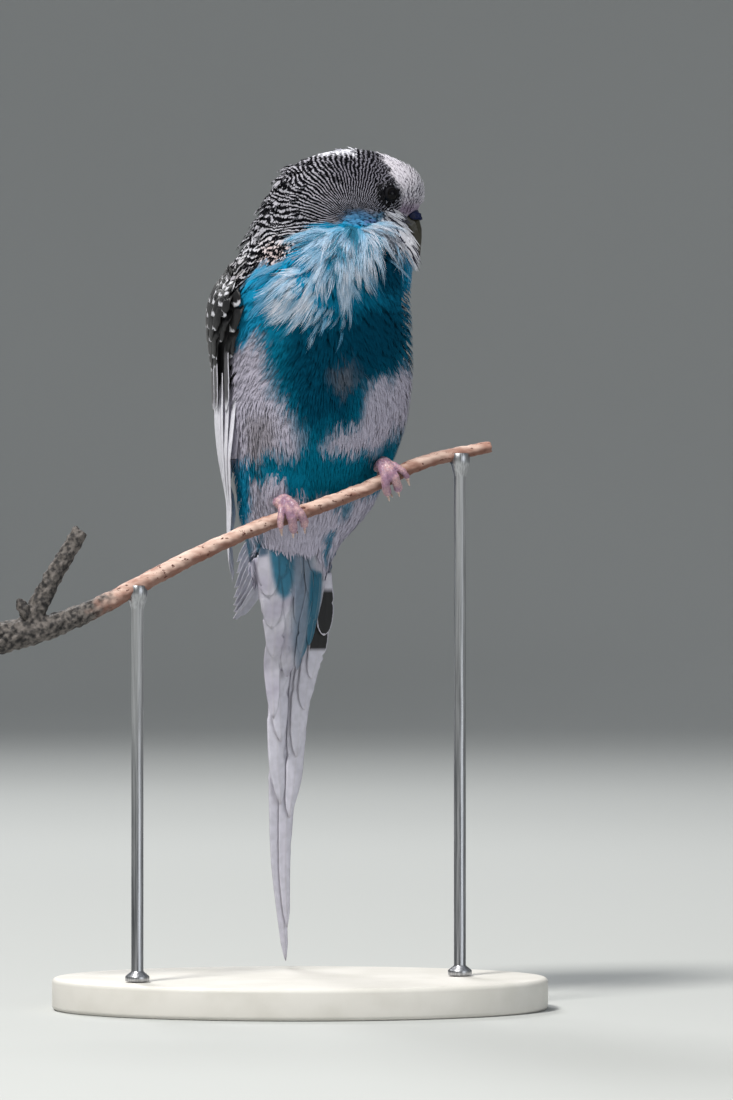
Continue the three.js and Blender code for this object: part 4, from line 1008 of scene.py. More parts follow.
# Middle of each eye.
EYES = {node: np.mean(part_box(node), axis=0) / MM for node in ("eye_right", "eye_left")}
EYE_RADIUS = 2.2
NECK = 181              # feathers get smaller above this height
BODY_SPACING = 1.45     # between feather roots below it


def from_eyes(p):
    """Distance to the nearer eye."""
    return np.minimum(*[np.linalg.norm(p - centre, axis=1) for centre in EYES.values()])


def spacing(p):
    """Distance between feather roots."""
    head = 0.5 + 0.026 * np.linalg.norm(p - BILL_BASE, axis=1)
    head = head * (0.7 + 0.3 * smoothstep(3, 6, from_eyes(p)))
    dense = np.where(p[:, 2] < 112, 0.85, 1)
    return np.where(p[:, 2] > NECK, np.minimum(head, BODY_SPACING), BODY_SPACING) * dense


def scatter():
    """Seeded places all over the skin, no closer than their spacing, with their normals."""
    a, b, c, d = (skin_points[skin_quads[:, k]] for k in range(4))
    area = np.linalg.norm(np.cross(c - a, d - b), axis=1) / 2
    wanted = area / spacing((a + b + c + d) / 4) ** 2
    number = int(wanted.sum() * 5)
    picked = rng.choice(len(area), number, p=wanted / wanted.sum())
    s, t = rng.uniform(0, 1, (2, number, 1))
    places = (a[picked] * (1 - s) + b[picked] * s) * (1 - t) + (d[picked] * (1 - s) + c[picked] * s) * t
    kept = thinned(places, spacing(places) * 0.92)
    return places[kept], unit(skin_normals[skin_quads[picked[kept]]].mean(1))


def under_wing(p):
    """How deep a place lies inside a wing's outline, in millimetres, and below 0 outside it."""
    depth = np.full(len(p), -99.0)
    x, y, _, _ = tabled(CARRIER, p[:, 2])
    bearing = bearing_round(p, x, y, WING_TURN)
    run = np.linspace(0, 1, 80)
    for wing in WINGS.values():
        lead, trail = along(wing["leading"], run), along(wing["trailing"], run)
        height = (lead[:, 1] + trail[:, 1]) / 2
        order = np.argsort(height)
        first, last = (np.interp(p[:, 2], height[order], edge[order, 0]) for edge in (lead, trail))
        own = bearing * wing["side"]
        own = np.where(own < -90, own + 360, own)
        inner = np.minimum(own - first, last - own) * DEGREE
        depth = np.maximum(depth, np.minimum(inner, height.max() - p[:, 2]))
    return depth


roots, ups = scatter()
low, high = (np.array(corner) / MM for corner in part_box("cere"))
covered = under_wing(roots)
# 1 at the roots that face the viewer or sideways right over the tail, fading out to both sides of it.
over_tail = (ups[:, 1] < 0.2) * smoothstep(9.5, 7.5, np.abs(roots[:, 0] + 3))
keep = (from_eyes(roots) > EYE_RADIUS - 0.1) & (covered < 5)
keep &= ~np.all((roots > low - 0.2) & (roots < high + 0.2), axis=1)
keep &= roots[:, 2] > 109 + 8.5 * over_tail + rng.normal(0, 0.8, len(roots))
roots, ups, covered, over_tail = (part[keep] for part in (roots, ups, covered, over_tail))

x, z = roots[:, 0], roots[:, 2]
from_bill = np.linalg.norm(roots - BILL_BASE, axis=1)
near_eye = from_eyes(roots)
length = np.interp(from_bill, [0, 5, 12, 25, 40, 60], [1.2, 1.5, 2.2, 3.6, 5.5, 7.0])
length *= smoothstep(1.5, 6, near_eye) * 0.6 + 0.4
width = length * np.interp(from_bill, [0, 20, 60], [0.24, 0.26, 0.3])
rise = smooth_at(COAT_DEPTH, z)[:, 0] * (1 - 0.6 * smoothstep(11, 4, from_bill))
rise = rise * (1 - 0.55 * smoothstep(6, 3, near_eye))
rise = rise * (1 - rng.uniform(0, 1, len(roots)) * np.where(z > NECK, 0.15, 0.03))
rise = rise + 0.5 * over_tail * smoothstep(124, 120, z)
barred = bar_strength(roots, ups)
scallop = smoothstep(192, 186, z) * smoothstep(8, 0, x) * barred
scallop = np.maximum(scallop, barred * facing_back(roots) * smoothstep(196, 188, z))
rise = rise + 0.9 * smoothstep(-5, -1, covered) * rng.uniform(0.5, 1, len(roots)) * (x < 15)
rise = rise + 0.5 * smoothstep(26, 28.5, x) * smoothstep(197.5, 200, z)
ruffled = rng.uniform(0, 1, len(roots)) < 0.1 + 0.22 * smoothstep(6, 0, x)
ruffled &= (z > 180) & (from_bill > 12) & (x < 19)
rise = rise + ruffled * rng.uniform(0.4, 1.5, len(roots))

# Pieces of the coat: where they are, locks a feather, stray turn, fray, ridge, softness, how
# level the tips lie, how far the sides hang, painted shade at the root, and blur of the colours.
GROUPS = [
    ("coat_face", (z > NECK) & (from_bill < 16), 3, 0.14, 0.10, 0.3, 0.75, 2.4, 0.3, 0.92, 0.2),
    ("coat_crown", (z > 198) & (from_bill >= 16), 5, 0.14, 0.12, 0.35, 0.6, 2.2, 0.3, 0.86, 0.2),
    ("coat_nape", (z > NECK) & (z <= 198) & (from_bill >= 16), 6, 0.18, 0.12, 0.35, 0.6, 2.2, 0.3, 0.84, 0.4),
    ("coat_breast", (z > 160) & (z <= NECK), 11, 0.10, 0.12, 0.12, 0.94, 2.4, 0.12, 0.96, 0.9),
    ("coat_belly", (z > 138) & (z <= 160), 11, 0.06, 0.12, 0.08, 0.95, 2.4, 0.06, 1.0, 0.9),
    ("coat_vent", z <= 138, 11, 0.06, 0.12, 0.08, 0.95, 2.4, 0.06, 1.0, 0.8),
]
for name, chosen, locks, jitter, fray, ridge, soften, level_off, sag, root_shade, blur in GROUPS:
    path = paths_on_skin(roots[chosen], ups[chosen], length[chosen], rise[chosen], jitter, 0.02,
                         level_off=level_off)
    tufts(name, path, roots[chosen], length[chosen], width[chosen], locks, fray=fray, ridge=ridge,
          soften=soften, scallops=scallop[chosen], shade=0.025, root_shade=root_shade, blur=blur, sag=sag)


# Short dark feathers that close in on the lids.
LASHES = {"number": 150, "near": 2.3, "far": 3.3, "length": 1.3, "width": 0.34}
for node, centre_of_eye in EYES.items():
    around = rng.uniform(0, 2 * np.pi, LASHES["number"])
    away = rng.uniform(LASHES["near"], LASHES["far"], LASHES["number"])
    _, outward = nearest(centre_of_eye[None])
    first = unit(np.cross(outward, [[0, 0, 1.0]]))
    second = np.cross(outward, first)
    ring = first * np.cos(around)[:, None] + second * np.sin(around)[:, None]
    ring = centre_of_eye + ring * away[:, None]
    root, normal = nearest(ring + outward * 0.5)

    def inward(p, n, centre_of_eye=centre_of_eye):
        return square_to(unit(lie(p, n) * 1.1 + unit(centre_of_eye - p)), n)

    long = LASHES["length"] * rng.uniform(0.7, 1.1, len(root))
    path = paths_on_skin(root, normal, long, rng.uniform(0.9, 1.3, len(root)), 0.2, 0.05, inward)
    tone = np.where(rng.uniform(0, 1, len(root)) < 0.22, 0.2, 0.014)[:, None] * np.array([1, 1, 1.15])
    tufts(f"coat_{node}", path, root, long, np.full(len(root), LASHES["width"]), 3, ridge=0.3, soften=0.7,
          tint=tone)


def on_skin_at(x, z, side=-1):
    """Places on the skin at x and z, with their normals: side -1 faces the viewer, 1 faces away."""
    places = []
    for px, pz in zip(x, z):
        hit, _, _, _ = skin_tree.ray_cast(Vector((px, side * 60, pz)), Vector((0, -side, 0)))
        places.append(hit if hit is not None else skin_tree.find_nearest(Vector((px, side * 20, pz)))[0])
    return nearest(np.array(places))


# Ruffled breast plumes in fans: start and end in x and z, half width of the row of roots, number,
# length, half width, share of white, lift and curl, on the viewer's side and then on the far side.
FANS = [
    (8, 193.5, -4.5, 182.5, 3.0, 24, 10, 1.2, 0.4, 1.4, 0.05),
    (9, 190.5, -4, 179, 3.5, 28, 11, 1.2, 0.45, 1.5, 0.06),
    (-2, 182, -16.5, 169.5, 3.5, 22, 12, 1.0, 0.3, 1.3, 0.04),
    (2.5, 180.5, -13, 165, 3.5, 34, 13, 1.0, 0.9, 1.4, 0.05),
    (12, 195.5, 4.5, 178, 3.5, 34, 12, 1.3, 0.6, 1.6, 0.06),
    (14, 193.5, 11.5, 175, 3.5, 34, 12, 1.3, 0.8, 1.7, 0.08),
    (9.5, 186, 6.5, 171, 3.5, 26, 11, 1.0, 0.75, 1.5, 0.07),
    (13, 186, 14, 172, 2.5, 16, 10, 0.9, 0.6, 1.5, 0.08),
    (5.5, 176, -1, 165, 3.0, 16, 9, 0.6, 0.45, 1.3, 0.06),
    (10, 175, 7.0, 165, 2.5, 12, 8, 0.5, 0.4, 1.3, 0.08),
    (17, 189, 24, 173, 2.5, 9, 11, 0.4, 0.75, 1.4, 0.1),
    (17.5, 196.3, 23.5, 189.5, 2.2, 34, 6, 0.8, 0.85, 1.5, 0.06),
    (24, 189, 26.3, 176, 1.6, 9, 10, 0.35, 0.35, 1.3, 0.08),
]
FAR_FANS = [
    (16, 195, 14, 183, 4.0, 26, 10, 1.2, 0.5, 1.2, 0.06),
    (18, 189, 17, 176, 4.5, 26, 11, 1.1, 0.7, 1.2, 0.07),
    (11, 190, 8, 180, 3.0, 14, 9, 1.1, 0.3, 1.1, 0.05),
    (22, 194, 23, 181, 3.0, 18, 9, 0.9, 0.6, 1.2, 0.07),
]
# Highest plume roots, by x.
PLUME_EDGE = np.array([[-20, 180], [-5, 187.4], [4.4, 193.2], [12, 195.6], [18.5, 195.6], [30, 196]])
PLUME_LOCKS = 26
PLUME_RISE = 2.8        # about how far the tip of a plume of lift 1 stands off the skin
DEEP_SHARE = 0.13       # of the plumes are deep blue
paths, lengths, widths, whites, plume_roots = [], [], [], [], []
for k, (x1, z1, x2, z2, spread, number, reach, half, white, lift, curl) in enumerate(FANS + FAR_FANS):
    facing_side = -1 if k < len(FANS) else 1
    toward = unit(np.array([x2 - x1, 0, z2 - z1]))
    aside = np.array([-toward[2], 0, toward[0]])
    offset = rng.uniform(-1, 1, number)
    back = rng.uniform(-3.5, 3, number)
    root_x = x1 + aside[0] * offset * spread + toward[0] * back
    root_z = z1 + aside[2] * offset * spread + toward[2] * back
    edge_z = np.interp(root_x, PLUME_EDGE[:, 0], PLUME_EDGE[:, 1]) - rng.uniform(0, 1.6, number)
    root, normal = on_skin_at(root_x, np.minimum(root_z, edge_z), facing_side)
    own = unit(toward + aside * (offset * 0.3)[:, None] + rng.normal(0, 0.12, (number, 3)))

    def heading(p, n, own=own):
        return square_to(own, n)

    long = reach * rng.uniform(0.75, 1.15, number)
    rise_here = PLUME_RISE * lift * rng.uniform(0.75, 1.2, number)
    paths.append(paths_on_skin(root, normal, long, rise_here, 0.06, curl, heading, 2.2))
    lengths.append(long)
    widths.append(half * rng.uniform(0.75, 1.2, number))
    whites.append(np.clip(white - 0.1 + rng.normal(0, 0.2, number), 0, 1))
    plume_roots.append(root)
white = np.concatenate(whites)
colour = mix(BLUE, PALE, smoothstep(0.0, 0.6, white))
deep_ones = rng.uniform(0, 1, len(white)) < DEEP_SHARE
tufts(
    "coat_plumes", [np.concatenate(part) for part in zip(*paths)], np.concatenate(plume_roots),
    np.concatenate(lengths), np.concatenate(widths), PLUME_LOCKS, pale_tip=np.where(deep_ones, 0, white),
    fray=0.28, ridge=0.35, soften=0.7, tint=mix(colour, TEAL, deep_ones * 0.8), shade=0.07, root_shade=0.8,
    broad=1.1,
)

# Streaked feathers of the chin and cheek that hang over the side of the bill: root and tip in x
# and z, and number.
CHIN = [
    (22.0, 198.8, 27.4, 195.4, 22),
    (21.5, 198.0, 28.0, 193.6, 24),
    (22.5, 197.0, 28.6, 191.6, 32),
    (23.6, 195.6, 29.2, 189.2, 36),
    (24.6, 193.6, 29.8, 186.0, 38),
    (25.0, 190.5, 29.7, 183.8, 30),
]
CHIN_FRONT = -4.6       # depth at which the tips hang, in front of the bill
DARK_CHIN = 0.42        # share of them that are dark
starts, ends = [], []
for root_x, root_z, tip_x, tip_z, number in CHIN:
    stray = rng.normal(0, 0.55, (number, 4))
    starts.append(np.array([root_x, root_z]) + stray[:, :2])
    ends.append(np.array([tip_x, tip_z]) + stray[:, :2] * 0.6 + stray[:, 2:] * 0.8)
starts, ends = np.concatenate(starts), np.concatenate(ends)
root, normal = on_skin_at(starts[:, 0], starts[:, 1])
root = root + normal * rng.uniform(0.3, 0.9, (len(root), 1))
tip = np.stack([ends[:, 0], CHIN_FRONT + rng.normal(0, 0.3, len(ends)), ends[:, 1]], -1)
path = paths_between(root, tip, rng.uniform(0.3, 0.9, len(root)), np.array([0.25, -1, 0.15]))
dark_ones = rng.uniform(0, 1, len(root)) < DARK_CHIN
colour = mix(mix(WHITE, GREY_AND_SHADE, rng.uniform(0, 0.55, len(root))), srgb(52, 52, 66), dark_ones)
tufts("coat_chin", path, root, np.linalg.norm(tip - root, axis=1), rng.uniform(0.28, 0.5, len(root)), 4,
      pale_tip=np.where(dark_ones, 0, 0.4), fray=0.24, ridge=0.4, soften=0.6, tint=colour)


LEG_BEND = np.array([0, 4.2, -1.5])


def receded(points, top, front):
    """A leg whose top bends back under the belly feathers, above one height and behind one depth."""
    share = smoothstep(top - 2, top + 1.2, points[:, 2]) * smoothstep(front - 1.5, front + 1, points[:, 1])
    return points + share[:, None] * LEG_BEND


# Belly feathers that swell over the top of each leg: middle of the leg in x, height of the tips, half
# width of the patch, most swell, and height and depth where the leg bends back.
LEGS = {
    "right": (-2.9, 127.4, 5.4, 4.4, (127.8, -7.0)),
    "left": (20.6, 135.4, 4.4, 2.4, (135.6, -1.5)),
}
LEG_FEATHERS = 110
leg_roots, leg_ups, leg_rises = [], [], []
for side, (middle_x, tip_z, half, most, bend) in LEGS.items():
    leg_points = receded(cad_solid([f"leg_{side}"])[0], *bend)
    front = leg_points[leg_points[:, 2] > tip_z + 1.0, 1].min()
    aside = rng.uniform(-1, 1, LEG_FEATHERS)
    root, normal = on_skin_at(middle_x + aside * half, tip_z + rng.uniform(4.0, 12.0, LEG_FEATHERS))
    own_rise = smooth_at(COAT_DEPTH, root[:, 2])[:, 0]
    needed = (root[:, 1] - front) / np.maximum(-normal[:, 1], 0.6) + 0.5
    swell = smoothstep(1.0, 0.45, np.abs(aside)) * smoothstep(tip_z + 12, tip_z + 7, root[:, 2])
    swell = swell * smoothstep(-0.5, -0.7, normal[:, 1])
    leg_roots.append(root)
    leg_ups.append(normal)
    leg_rises.append(own_rise + np.clip(needed - own_rise, 0, most) * swell)
root = np.concatenate(leg_roots)
long = rng.uniform(5.0, 6.5, len(root))
path = paths_on_skin(root, np.concatenate(leg_ups), long, np.concatenate(leg_rises), 0.05, 0.02,
                     level_off=2.4)
tufts("coat_legs", path, root, long, long * 0.3, 11, fray=0.12, ridge=0.08, soften=0.95, root_shade=1.0,
      shade=0.025, blur=0.9, sag=0.06)


# Wings and tail: closed thin vanes

class Vanes:
    """Closed thin feathers gathered into one mesh."""

    def __init__(self):
        self.points, self.faces, self.tint, self.patches, self.base = [], [], [], [], 0
        self.floats = {key: [] for key in ("along", "across", "margin", "dark", "rings")}

    def add(self, middle, across, out, half, blade, tint, dark, length, camber=0.18, ragged=0.08, stations=22,
            columns=9, rim=1.0, side_rim=1.7, rings=0.0):
        """One feather: functions of the share t give its middle and directions."""
        t = np.linspace(0, 1, stations) ** 0.9
        width = half * np.interp(t, *np.transpose(blade))
        u = np.linspace(-1, 1, columns)
        wear = 1 - ragged * rng.uniform(0, 1, (stations, 2)) * smoothstep(0.1, 0.6, t)[:, None]
        split = rng.integers(stations // 3, stations - 2, 2)
        wear[split, rng.integers(0, 2, 2)] -= rng.uniform(0.1, 0.3, 2) * (ragged > 0)
        reach = np.where(u[None, :] < 0, wear[:, :1], wear[:, 1:]) * width[:, None] * u[None, :]
        m, a, o = (part(t)[:, None, :] for part in (middle, across, out))
        ridge = 0.12 * np.exp(-(u / 0.12) ** 2)
        height = camber * half * (0.25 - u**2)[None, :] * (width / half)[:, None] + ridge[None, :]
        centre = m + a * reach[..., None] + o * height[..., None]
        thick = o * (VANE_THICK * (1 - 0.5 * np.abs(u))[None, :, None] / 2)
        # Rings round the feather: the upper face one way and the lower face back.
        points, faces = ring_surface(np.concatenate([centre + thick, (centre - thick)[:, ::-1]], 1))
        if np.dot(np.cross(a[0, 0], m[-1, 0] - m[0, 0]), o[0, 0]) < 0:
            faces = [block[:, ::-1] for block in faces]
        ring_u = np.concatenate([u, u[::-1]])
        edge = np.broadcast_to((1 - t[:, None]) * length, (stations, 2 * columns))
        if side_rim:
            edge = np.minimum((1 - np.abs(ring_u))[None, :] * width[:, None] * side_rim, edge)

        def spread(values, first, last):
            return np.concatenate([np.broadcast_to(values, (stations, 2 * columns)).ravel(), [first, last]])

        dark = np.broadcast_to(dark(t) if callable(dark) else dark, (stations,))
        for key, values, first, last in (
            ("along", t[:, None] * length, 0, length),
            ("across", np.abs(ring_u)[None, :] * width[:, None], 0, 0),
            ("margin", edge * rim, width[0] / 2, 0),
            ("dark", dark[:, None], dark[0], dark[-1]),
            ("rings", rings, rings, rings),
        ):
            self.floats[key].append(spread(values, first, last))
        patch = np.stack([spread(ring_u[None, :] * 0.5, 0, 0), spread(t[:, None] - 0.5, -0.5, 0.5)], -1)
        self.patches.append(unwrap(m[0]) + patch * VANE_PATCH)
        self.points.append(points)
        self.faces += [block + self.base for block in faces]
        self.base += len(points)
        tint = tint(points) if callable(tint) else np.tile(tint, (len(points), 1))
        self.tint.append(tint * rng.normal(1, 0.025))

    def build(self, name, on_skin=False):
        floats = {key: np.concatenate(values) for key, values in self.floats.items()}
        tint = np.clip(np.vstack(self.tint), 0, 0.9)
        uv = np.vstack(self.patches) if on_skin else None
        points = np.vstack(self.points)
        return make_object(name, points, self.faces, VANE, tint=tint, floats=floats, uv=uv)


PLATE_LONG = 0.6        # shares of the wing's length and width that the plate covers
PLATE_WIDE = 0.93


def wing_plate(wing):
    """Plate under the wing feathers."""
    run = np.linspace(0, PLATE_LONG, 40)[:, None]
    u = np.linspace(0, PLATE_WIDE, 24)[None, :]
    ends = np.minimum(1, 0.2 + run * 8) * np.minimum(1, 0.2 + (PLATE_LONG - run) * 8)
    full = np.sqrt(np.maximum(0, 1 - (2 * u / PLATE_WIDE - 1) ** 4)) * ends
    upper = wing_point(wing, run, u, SHELL_INNER + 0.1 + 0.95 * full)
    lower = wing_point(wing, run, u, SHELL_INNER)
    return ring_surface(np.concatenate([upper, lower[:, ::-1]], 1))


SMALL_FEATHER = {"stations": 12, "columns": 7, "rim": 0.45, "side_rim": 0}
LARGE_FEATHER = {"rim": 0.9}


def wing_feather(vanes, wing, tier, index):
    """One feather of a tier, tilted so that it lies on its neighbour."""
    share = index / (tier["count"] - 1)
    start, end, near, far = (between(tier[key], share) for key in ("from", "to", "near", "far"))
    end = end + rng.normal(0, 0.004)
    step = (tier["far"][1] - tier["far"][0]) / (tier["count"] - 1)
    tilt = np.arcsin(min(0.6, 0.24 / step)) + rng.normal(0, 0.012)
    low, high = tier["lift"]

    def place(t, more=0.0):
        run = between((start, end), np.asarray(t, float))
        span = np.linalg.norm(wing_point(wing, run, 1, 0) - wing_point(wing, run, 0, 0), axis=-1)
        reach = between((near, far), t)
        if tier["full"]:
            reach = reach * (span - 0.8) / tier["far"][1]
        at = np.minimum(reach / span, np.maximum(0.5, 1 - 0.8 / span))
        return wing_point(wing, run, at, SHELL_TOP + low + (high - low) * smoothstep(0, 0.4, t) + more)

    def directions(t):
        heading = unit(place(np.minimum(1.02, t + 0.03)) - place(np.maximum(-0.02, t - 0.03)))
        out = square_to(place(t, 1.0) - place(t), heading)
        across = np.cross(heading, out) * wing["side"]
        return across * np.cos(tilt) + out * np.sin(tilt), out * np.cos(tilt) - across * np.sin(tilt)

    ends = place(np.array([0.0, 1.0]))
    bound = 154.5 + rng.normal(0, 2.4)      # height above which the feather is dark
    strength = 0.9 if tier["name"] == "greater" else 1

    def dark(t):
        return smoothstep(bound - 1.6, bound + 1.6, place(t)[:, 2]) * strength

    small = tier["name"] in ("lesser", "median")
    blade = FLIGHT_BLADE if tier["name"] in ("primary", "secondary") else COVERT_BLADE
    shape = SMALL_FEATHER if small else LARGE_FEATHER
    vanes.add(place, lambda t: directions(t)[0], lambda t: directions(t)[1], tier["half"], blade,
              WHITE * 0.74 if small else mix(WHITE, LILAC, 0.3), dark, np.linalg.norm(ends[1] - ends[0]),
              camber=0.16, **shape)


for node, wing in WINGS.items():
    vanes = Vanes()
    for tier in TIERS:
        for index in range(tier["count"]):
            wing_feather(vanes, wing, tier, index)
    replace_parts(vanes.build(f"{node}_feathers"), node)
    points, faces = wing_plate(wing)
    none = np.zeros(len(points))
    make_object(f"{node}_plate", points, faces, VANE,
                tint=LILAC * 0.8,
                floats={"along": none, "across": none + 1, "margin": none + 1,
                        "dark": smoothstep(153, 156, points[:, 2]), "rings": none})


def laid_feather(vanes, path, k, half, blade, tint, length, **shape):
    """A firm feather along one of the paths on the skin."""
    steps = np.linspace(0, 1, STATIONS)
    middle, normals, ways = (part[k] for part in path)

    def at(values, t):
        return np.stack([np.interp(t, steps, values[:, axis]) for axis in range(3)], -1)

    vanes.add(lambda t: at(middle, t), lambda t: unit(np.cross(at(normals, t), at(ways, t))),
              lambda t: unit(at(normals, t)), half, blade, tint, 0.0, length, **shape)


# Scalloped feathers of the nape and mantle, thinned out of the coat's own roots.
MANTLE = {"spacing": 2.7, "length": 7.4, "half": 2.5, "lift": 0.5}
AHEAD = 5.5             # they grow only where the skin this far on is barred too
ahead = roots + lie(roots, ups) * AHEAD
inside = bar_strength(ahead, ups) > 0.7
mantle = np.flatnonzero((scallop > 0.8) & (z < 189) & (covered < 3.5) & inside)
picked = mantle[thinned(roots[mantle], np.full(len(mantle), MANTLE["spacing"]))]
size = rng.uniform(0.85, 1.1, len(picked)) * np.interp(z[picked], [165, 189], [1.0, 0.75])
long = MANTLE["length"] * size
path = paths_on_skin(roots[picked], ups[picked], long, rise[picked] + MANTLE["lift"], 0.12, 0.02)
vanes = Vanes()
for i in range(len(picked)):
    pale = mix(WHITE, GREY_AND_SHADE, rng.uniform(0.35, 0.85))
    laid_feather(vanes, path, i, MANTLE["half"] * size[i], COVERT_BLADE, pale, long[i],
                 stations=12, columns=7, ragged=0.16, rings=1.0)
vanes.build("mantle_feathers", on_skin=True)

# Long smooth feathers under the tail: tip in x and z, length, half width, lift, from the lowest up.
UNDERTAIL_FEATHERS = [
    (-7.0, 72.0, 44, 2.2, 0.1),
    (-6.4, 83.6, 30, 3.0, 0.3),
    (-1.2, 84.2, 28, 3.0, 0.35),
    (-3.9, 82.6, 30, 3.2, 0.5),
    (-7.4, 87.5, 26, 2.9, 0.5),
    (1.7, 90.5, 24, 2.6, 0.55),
    (-0.8, 88.5, 24, 3.0, 0.75),
    (-5.0, 88.0, 24, 3.2, 0.75),
    (-8.1, 95.0, 20, 2.8, 0.7),
    (3.0, 97.0, 18, 2.6, 0.85),
    (-1.2, 95.0, 20, 3.2, 1.0),
    (-6.6, 96.5, 20, 3.4, 0.95),
    (4.6, 103.5, 14, 2.4, 1.0),
    (1.6, 101.5, 16, 2.8, 1.15),
    (-9.2, 103.0, 16, 2.8, 0.95),
    (-4.3, 102.3, 18, 3.6, 1.3),
    (-7.4, 107.5, 12, 3.0, 1.3),
    (2.6, 108.5, 12, 2.8, 1.3),
    (-1.6, 108.5, 12, 3.0, 1.4),
]
STEEL = srgb(92, 112, 132)
# The teal marks here are darkened towards the shaded teal: painted shade.
UNDERTAIL_MARKS = [
    (STEEL, 0.85, 1.4, [(-3.5, 118), (3, 118), (3.6, 103), (1.5, 88), (-1, 84), (-2.4, 92), (-2, 102)]),
    (mix(TEAL, SHADED_TEAL, 0.3), 0.97, 0.8, [(-8.5, 118), (-1.5, 118), (-1.7, 107), (-2.6, 103.5), (-4.2, 102.2),
                                       (-6, 104), (-7, 108)]),
    (SHADED_TEAL, 0.9, 0.7, [(-11.5, 118), (-8.5, 117), (-8, 113.5), (-10.5, 112.8)]),
    (mix(TEAL, SHADED_TEAL, 0.4), 1.0, 0.5, [(2.5, 110), (5.6, 109), (5.2, 103), (3.6, 92), (1, 86.5), (-0.8, 83),
                                      (-0.2, 86), (1.4, 93), (2.0, 103)]),
]


def undertail_tint(points):
    # White and lilac at 0.85 of their brightness: painted shade under the body.
    colour = mix(WHITE, LILAC, np.clip(0.8 + 0.2 * waves(points, 9, 61), 0, 1)) * 0.85
    return marked(colour, UNDERTAIL_MARKS, points[:, 0], points[:, 2])


def undertail_feather(vanes, tip_x, tip_z, length, half, lift):
    """A long feather that lies along the underside, from a root inside its width to its own tip."""
    root_z = tip_z + length
    rows = smooth_at(UNDERTAIL, np.array([min(root_z, UNDERTAIL[-1, 0]), tip_z]))
    tip_side = (tip_x - rows[1, 0]) / TAIL_ACROSS[0]
    root_side = np.clip(tip_side * rows[0, 2] / max(rows[1, 2], 4) * 0.8, 0.8 - rows[0, 2], rows[0, 2] - 0.8)

    def section(t):
        """Middle of the underside, its half thickness, distance to one side, and share of its width."""
        height = between((root_z, tip_z), t)
        x, y, wide, thick = tabled(UNDERTAIL, height)
        side = between((root_side, tip_side), smoothstep(0, 1, t))
        return np.stack([x, y, height], -1), thick, side, side / np.maximum(wide, 0.5)

    def middle(t):
        centre, thick, side, share = section(t)
        raised = thick * np.sqrt(np.maximum(0.05, 1 - share**2)) + 0.65 * lift * smoothstep(0, 0.4, t)
        return centre + TAIL_ACROSS * side[:, None] + TAIL_FORWARD * raised[:, None]

    def out(t):
        slope = np.clip(section(t)[3], -0.9, 0.9)
        return unit(TAIL_FORWARD + TAIL_ACROSS * (slope * 0.7)[:, None])

    def sideways(t):
        return unit(np.cross(out(t), [0, 0, -1.0]))

    vanes.add(middle, sideways, out, half, COVERT_BLADE, undertail_tint, 0.0, length, camber=0.07,
              ragged=0.03, stations=26, columns=11, rim=1.6)


vanes = Vanes()
for row in UNDERTAIL_FEATHERS:
    undertail_feather(vanes, *row)
vanes.build("undertail_feathers")

TAIL_LINE = np.array([   # height, x, y
    [9.7, -3.4, 32.2],
    [18, -3.8, 31.4],
    [36, -4.7, 29.0],
    [58, -3.9, 26.0],
    [78, -2.8, 23.2],
    [94, -1.0, 21.2],
    [106, -1.6, 19.6],
    [116, -1.4, 18.6],
])
TAIL_FEATHERS = [   # tips on the left and the right of the picture, root and tip offset, half width
    [9.7, 18.3, 2.4, 0.3, 3.0],
    [50, 46.5, 3.6, 1.5, 2.9],
    [66, 62, 4.7, 2.5, 2.9],
    [77.5, 74, 5.8, 3.6, 2.9],
    [85, 82, 6.9, 4.6, 2.8],
    [96, 93, 8.2, 6.4, 2.6],
]
TAIL_TOP = 109
TAIL_STACK = 0.88       # from one feather to the next
# Black patches of the outer tail feathers: top and bottom, by side and pair.
TAIL_SPOTS = {(1, 5): (104.6, 93.2), (1, 4): (98.5, 89.5), (-1, 4): (97, 91)}


def tail_feather(vanes, pair, side):
    """One of a pair of feathers that lie fanned over each other, the middle pair on top."""
    left, right, root, tip, half = TAIL_FEATHERS[pair]
    end = left if side < 0 else right
    blade = LONG_BLADE if pair == 0 else COVERT_BLADE
    swing = rng.normal(0, 0.25)

    def middle(t):
        z = between((TAIL_TOP, end), t)
        thinning = smoothstep(10, 96, TAIL_LINE[-1, 0] - z)
        height = 2.5 * (1 - thinning) - pair
        upper = TAIL_STACK if pair == 0 and side < 0 else 0
        width = half * np.interp(t, *np.transpose(blade))
        aside = np.maximum(root + (tip - root) * t**1.2, 0 if pair == 0 else width + 0.15)
        aside = aside + swing * t**2
        x, y = tabled(TAIL_LINE, z)
        return (np.stack([x, y, z], -1) + TAIL_ACROSS * (side * aside)[:, None]
                - TAIL_FORWARD * (height * TAIL_STACK + upper)[:, None])

    def facing(direction):
        return lambda t: np.broadcast_to(direction, (len(t), 3))

    grey = mix(LILAC, WHITE, 0.35 + 0.1 * rng.uniform())
    top, bottom = TAIL_SPOTS.get((side, pair), (0, 0))

    def dark(t):
        z = between((TAIL_TOP, end), t)
        return smoothstep(top + 0.3, top - 0.3, z) * smoothstep(bottom - 0.3, bottom + 0.3, z)

    vanes.add(middle, facing(TAIL_ACROSS), facing(TAIL_FORWARD), half, blade, grey, dark, TAIL_TOP - end,
              camber=0.12, ragged=0.05, stations=40 if pair == 0 else 26)


vanes = Vanes()
for pair in range(len(TAIL_FEATHERS)):
    for side in (-1, 1):
        tail_feather(vanes, pair, side)
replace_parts(vanes.build("tail_feathers"), "tail")


# Bill, cere, feet, claws and branch: the CAD solids made even and smooth

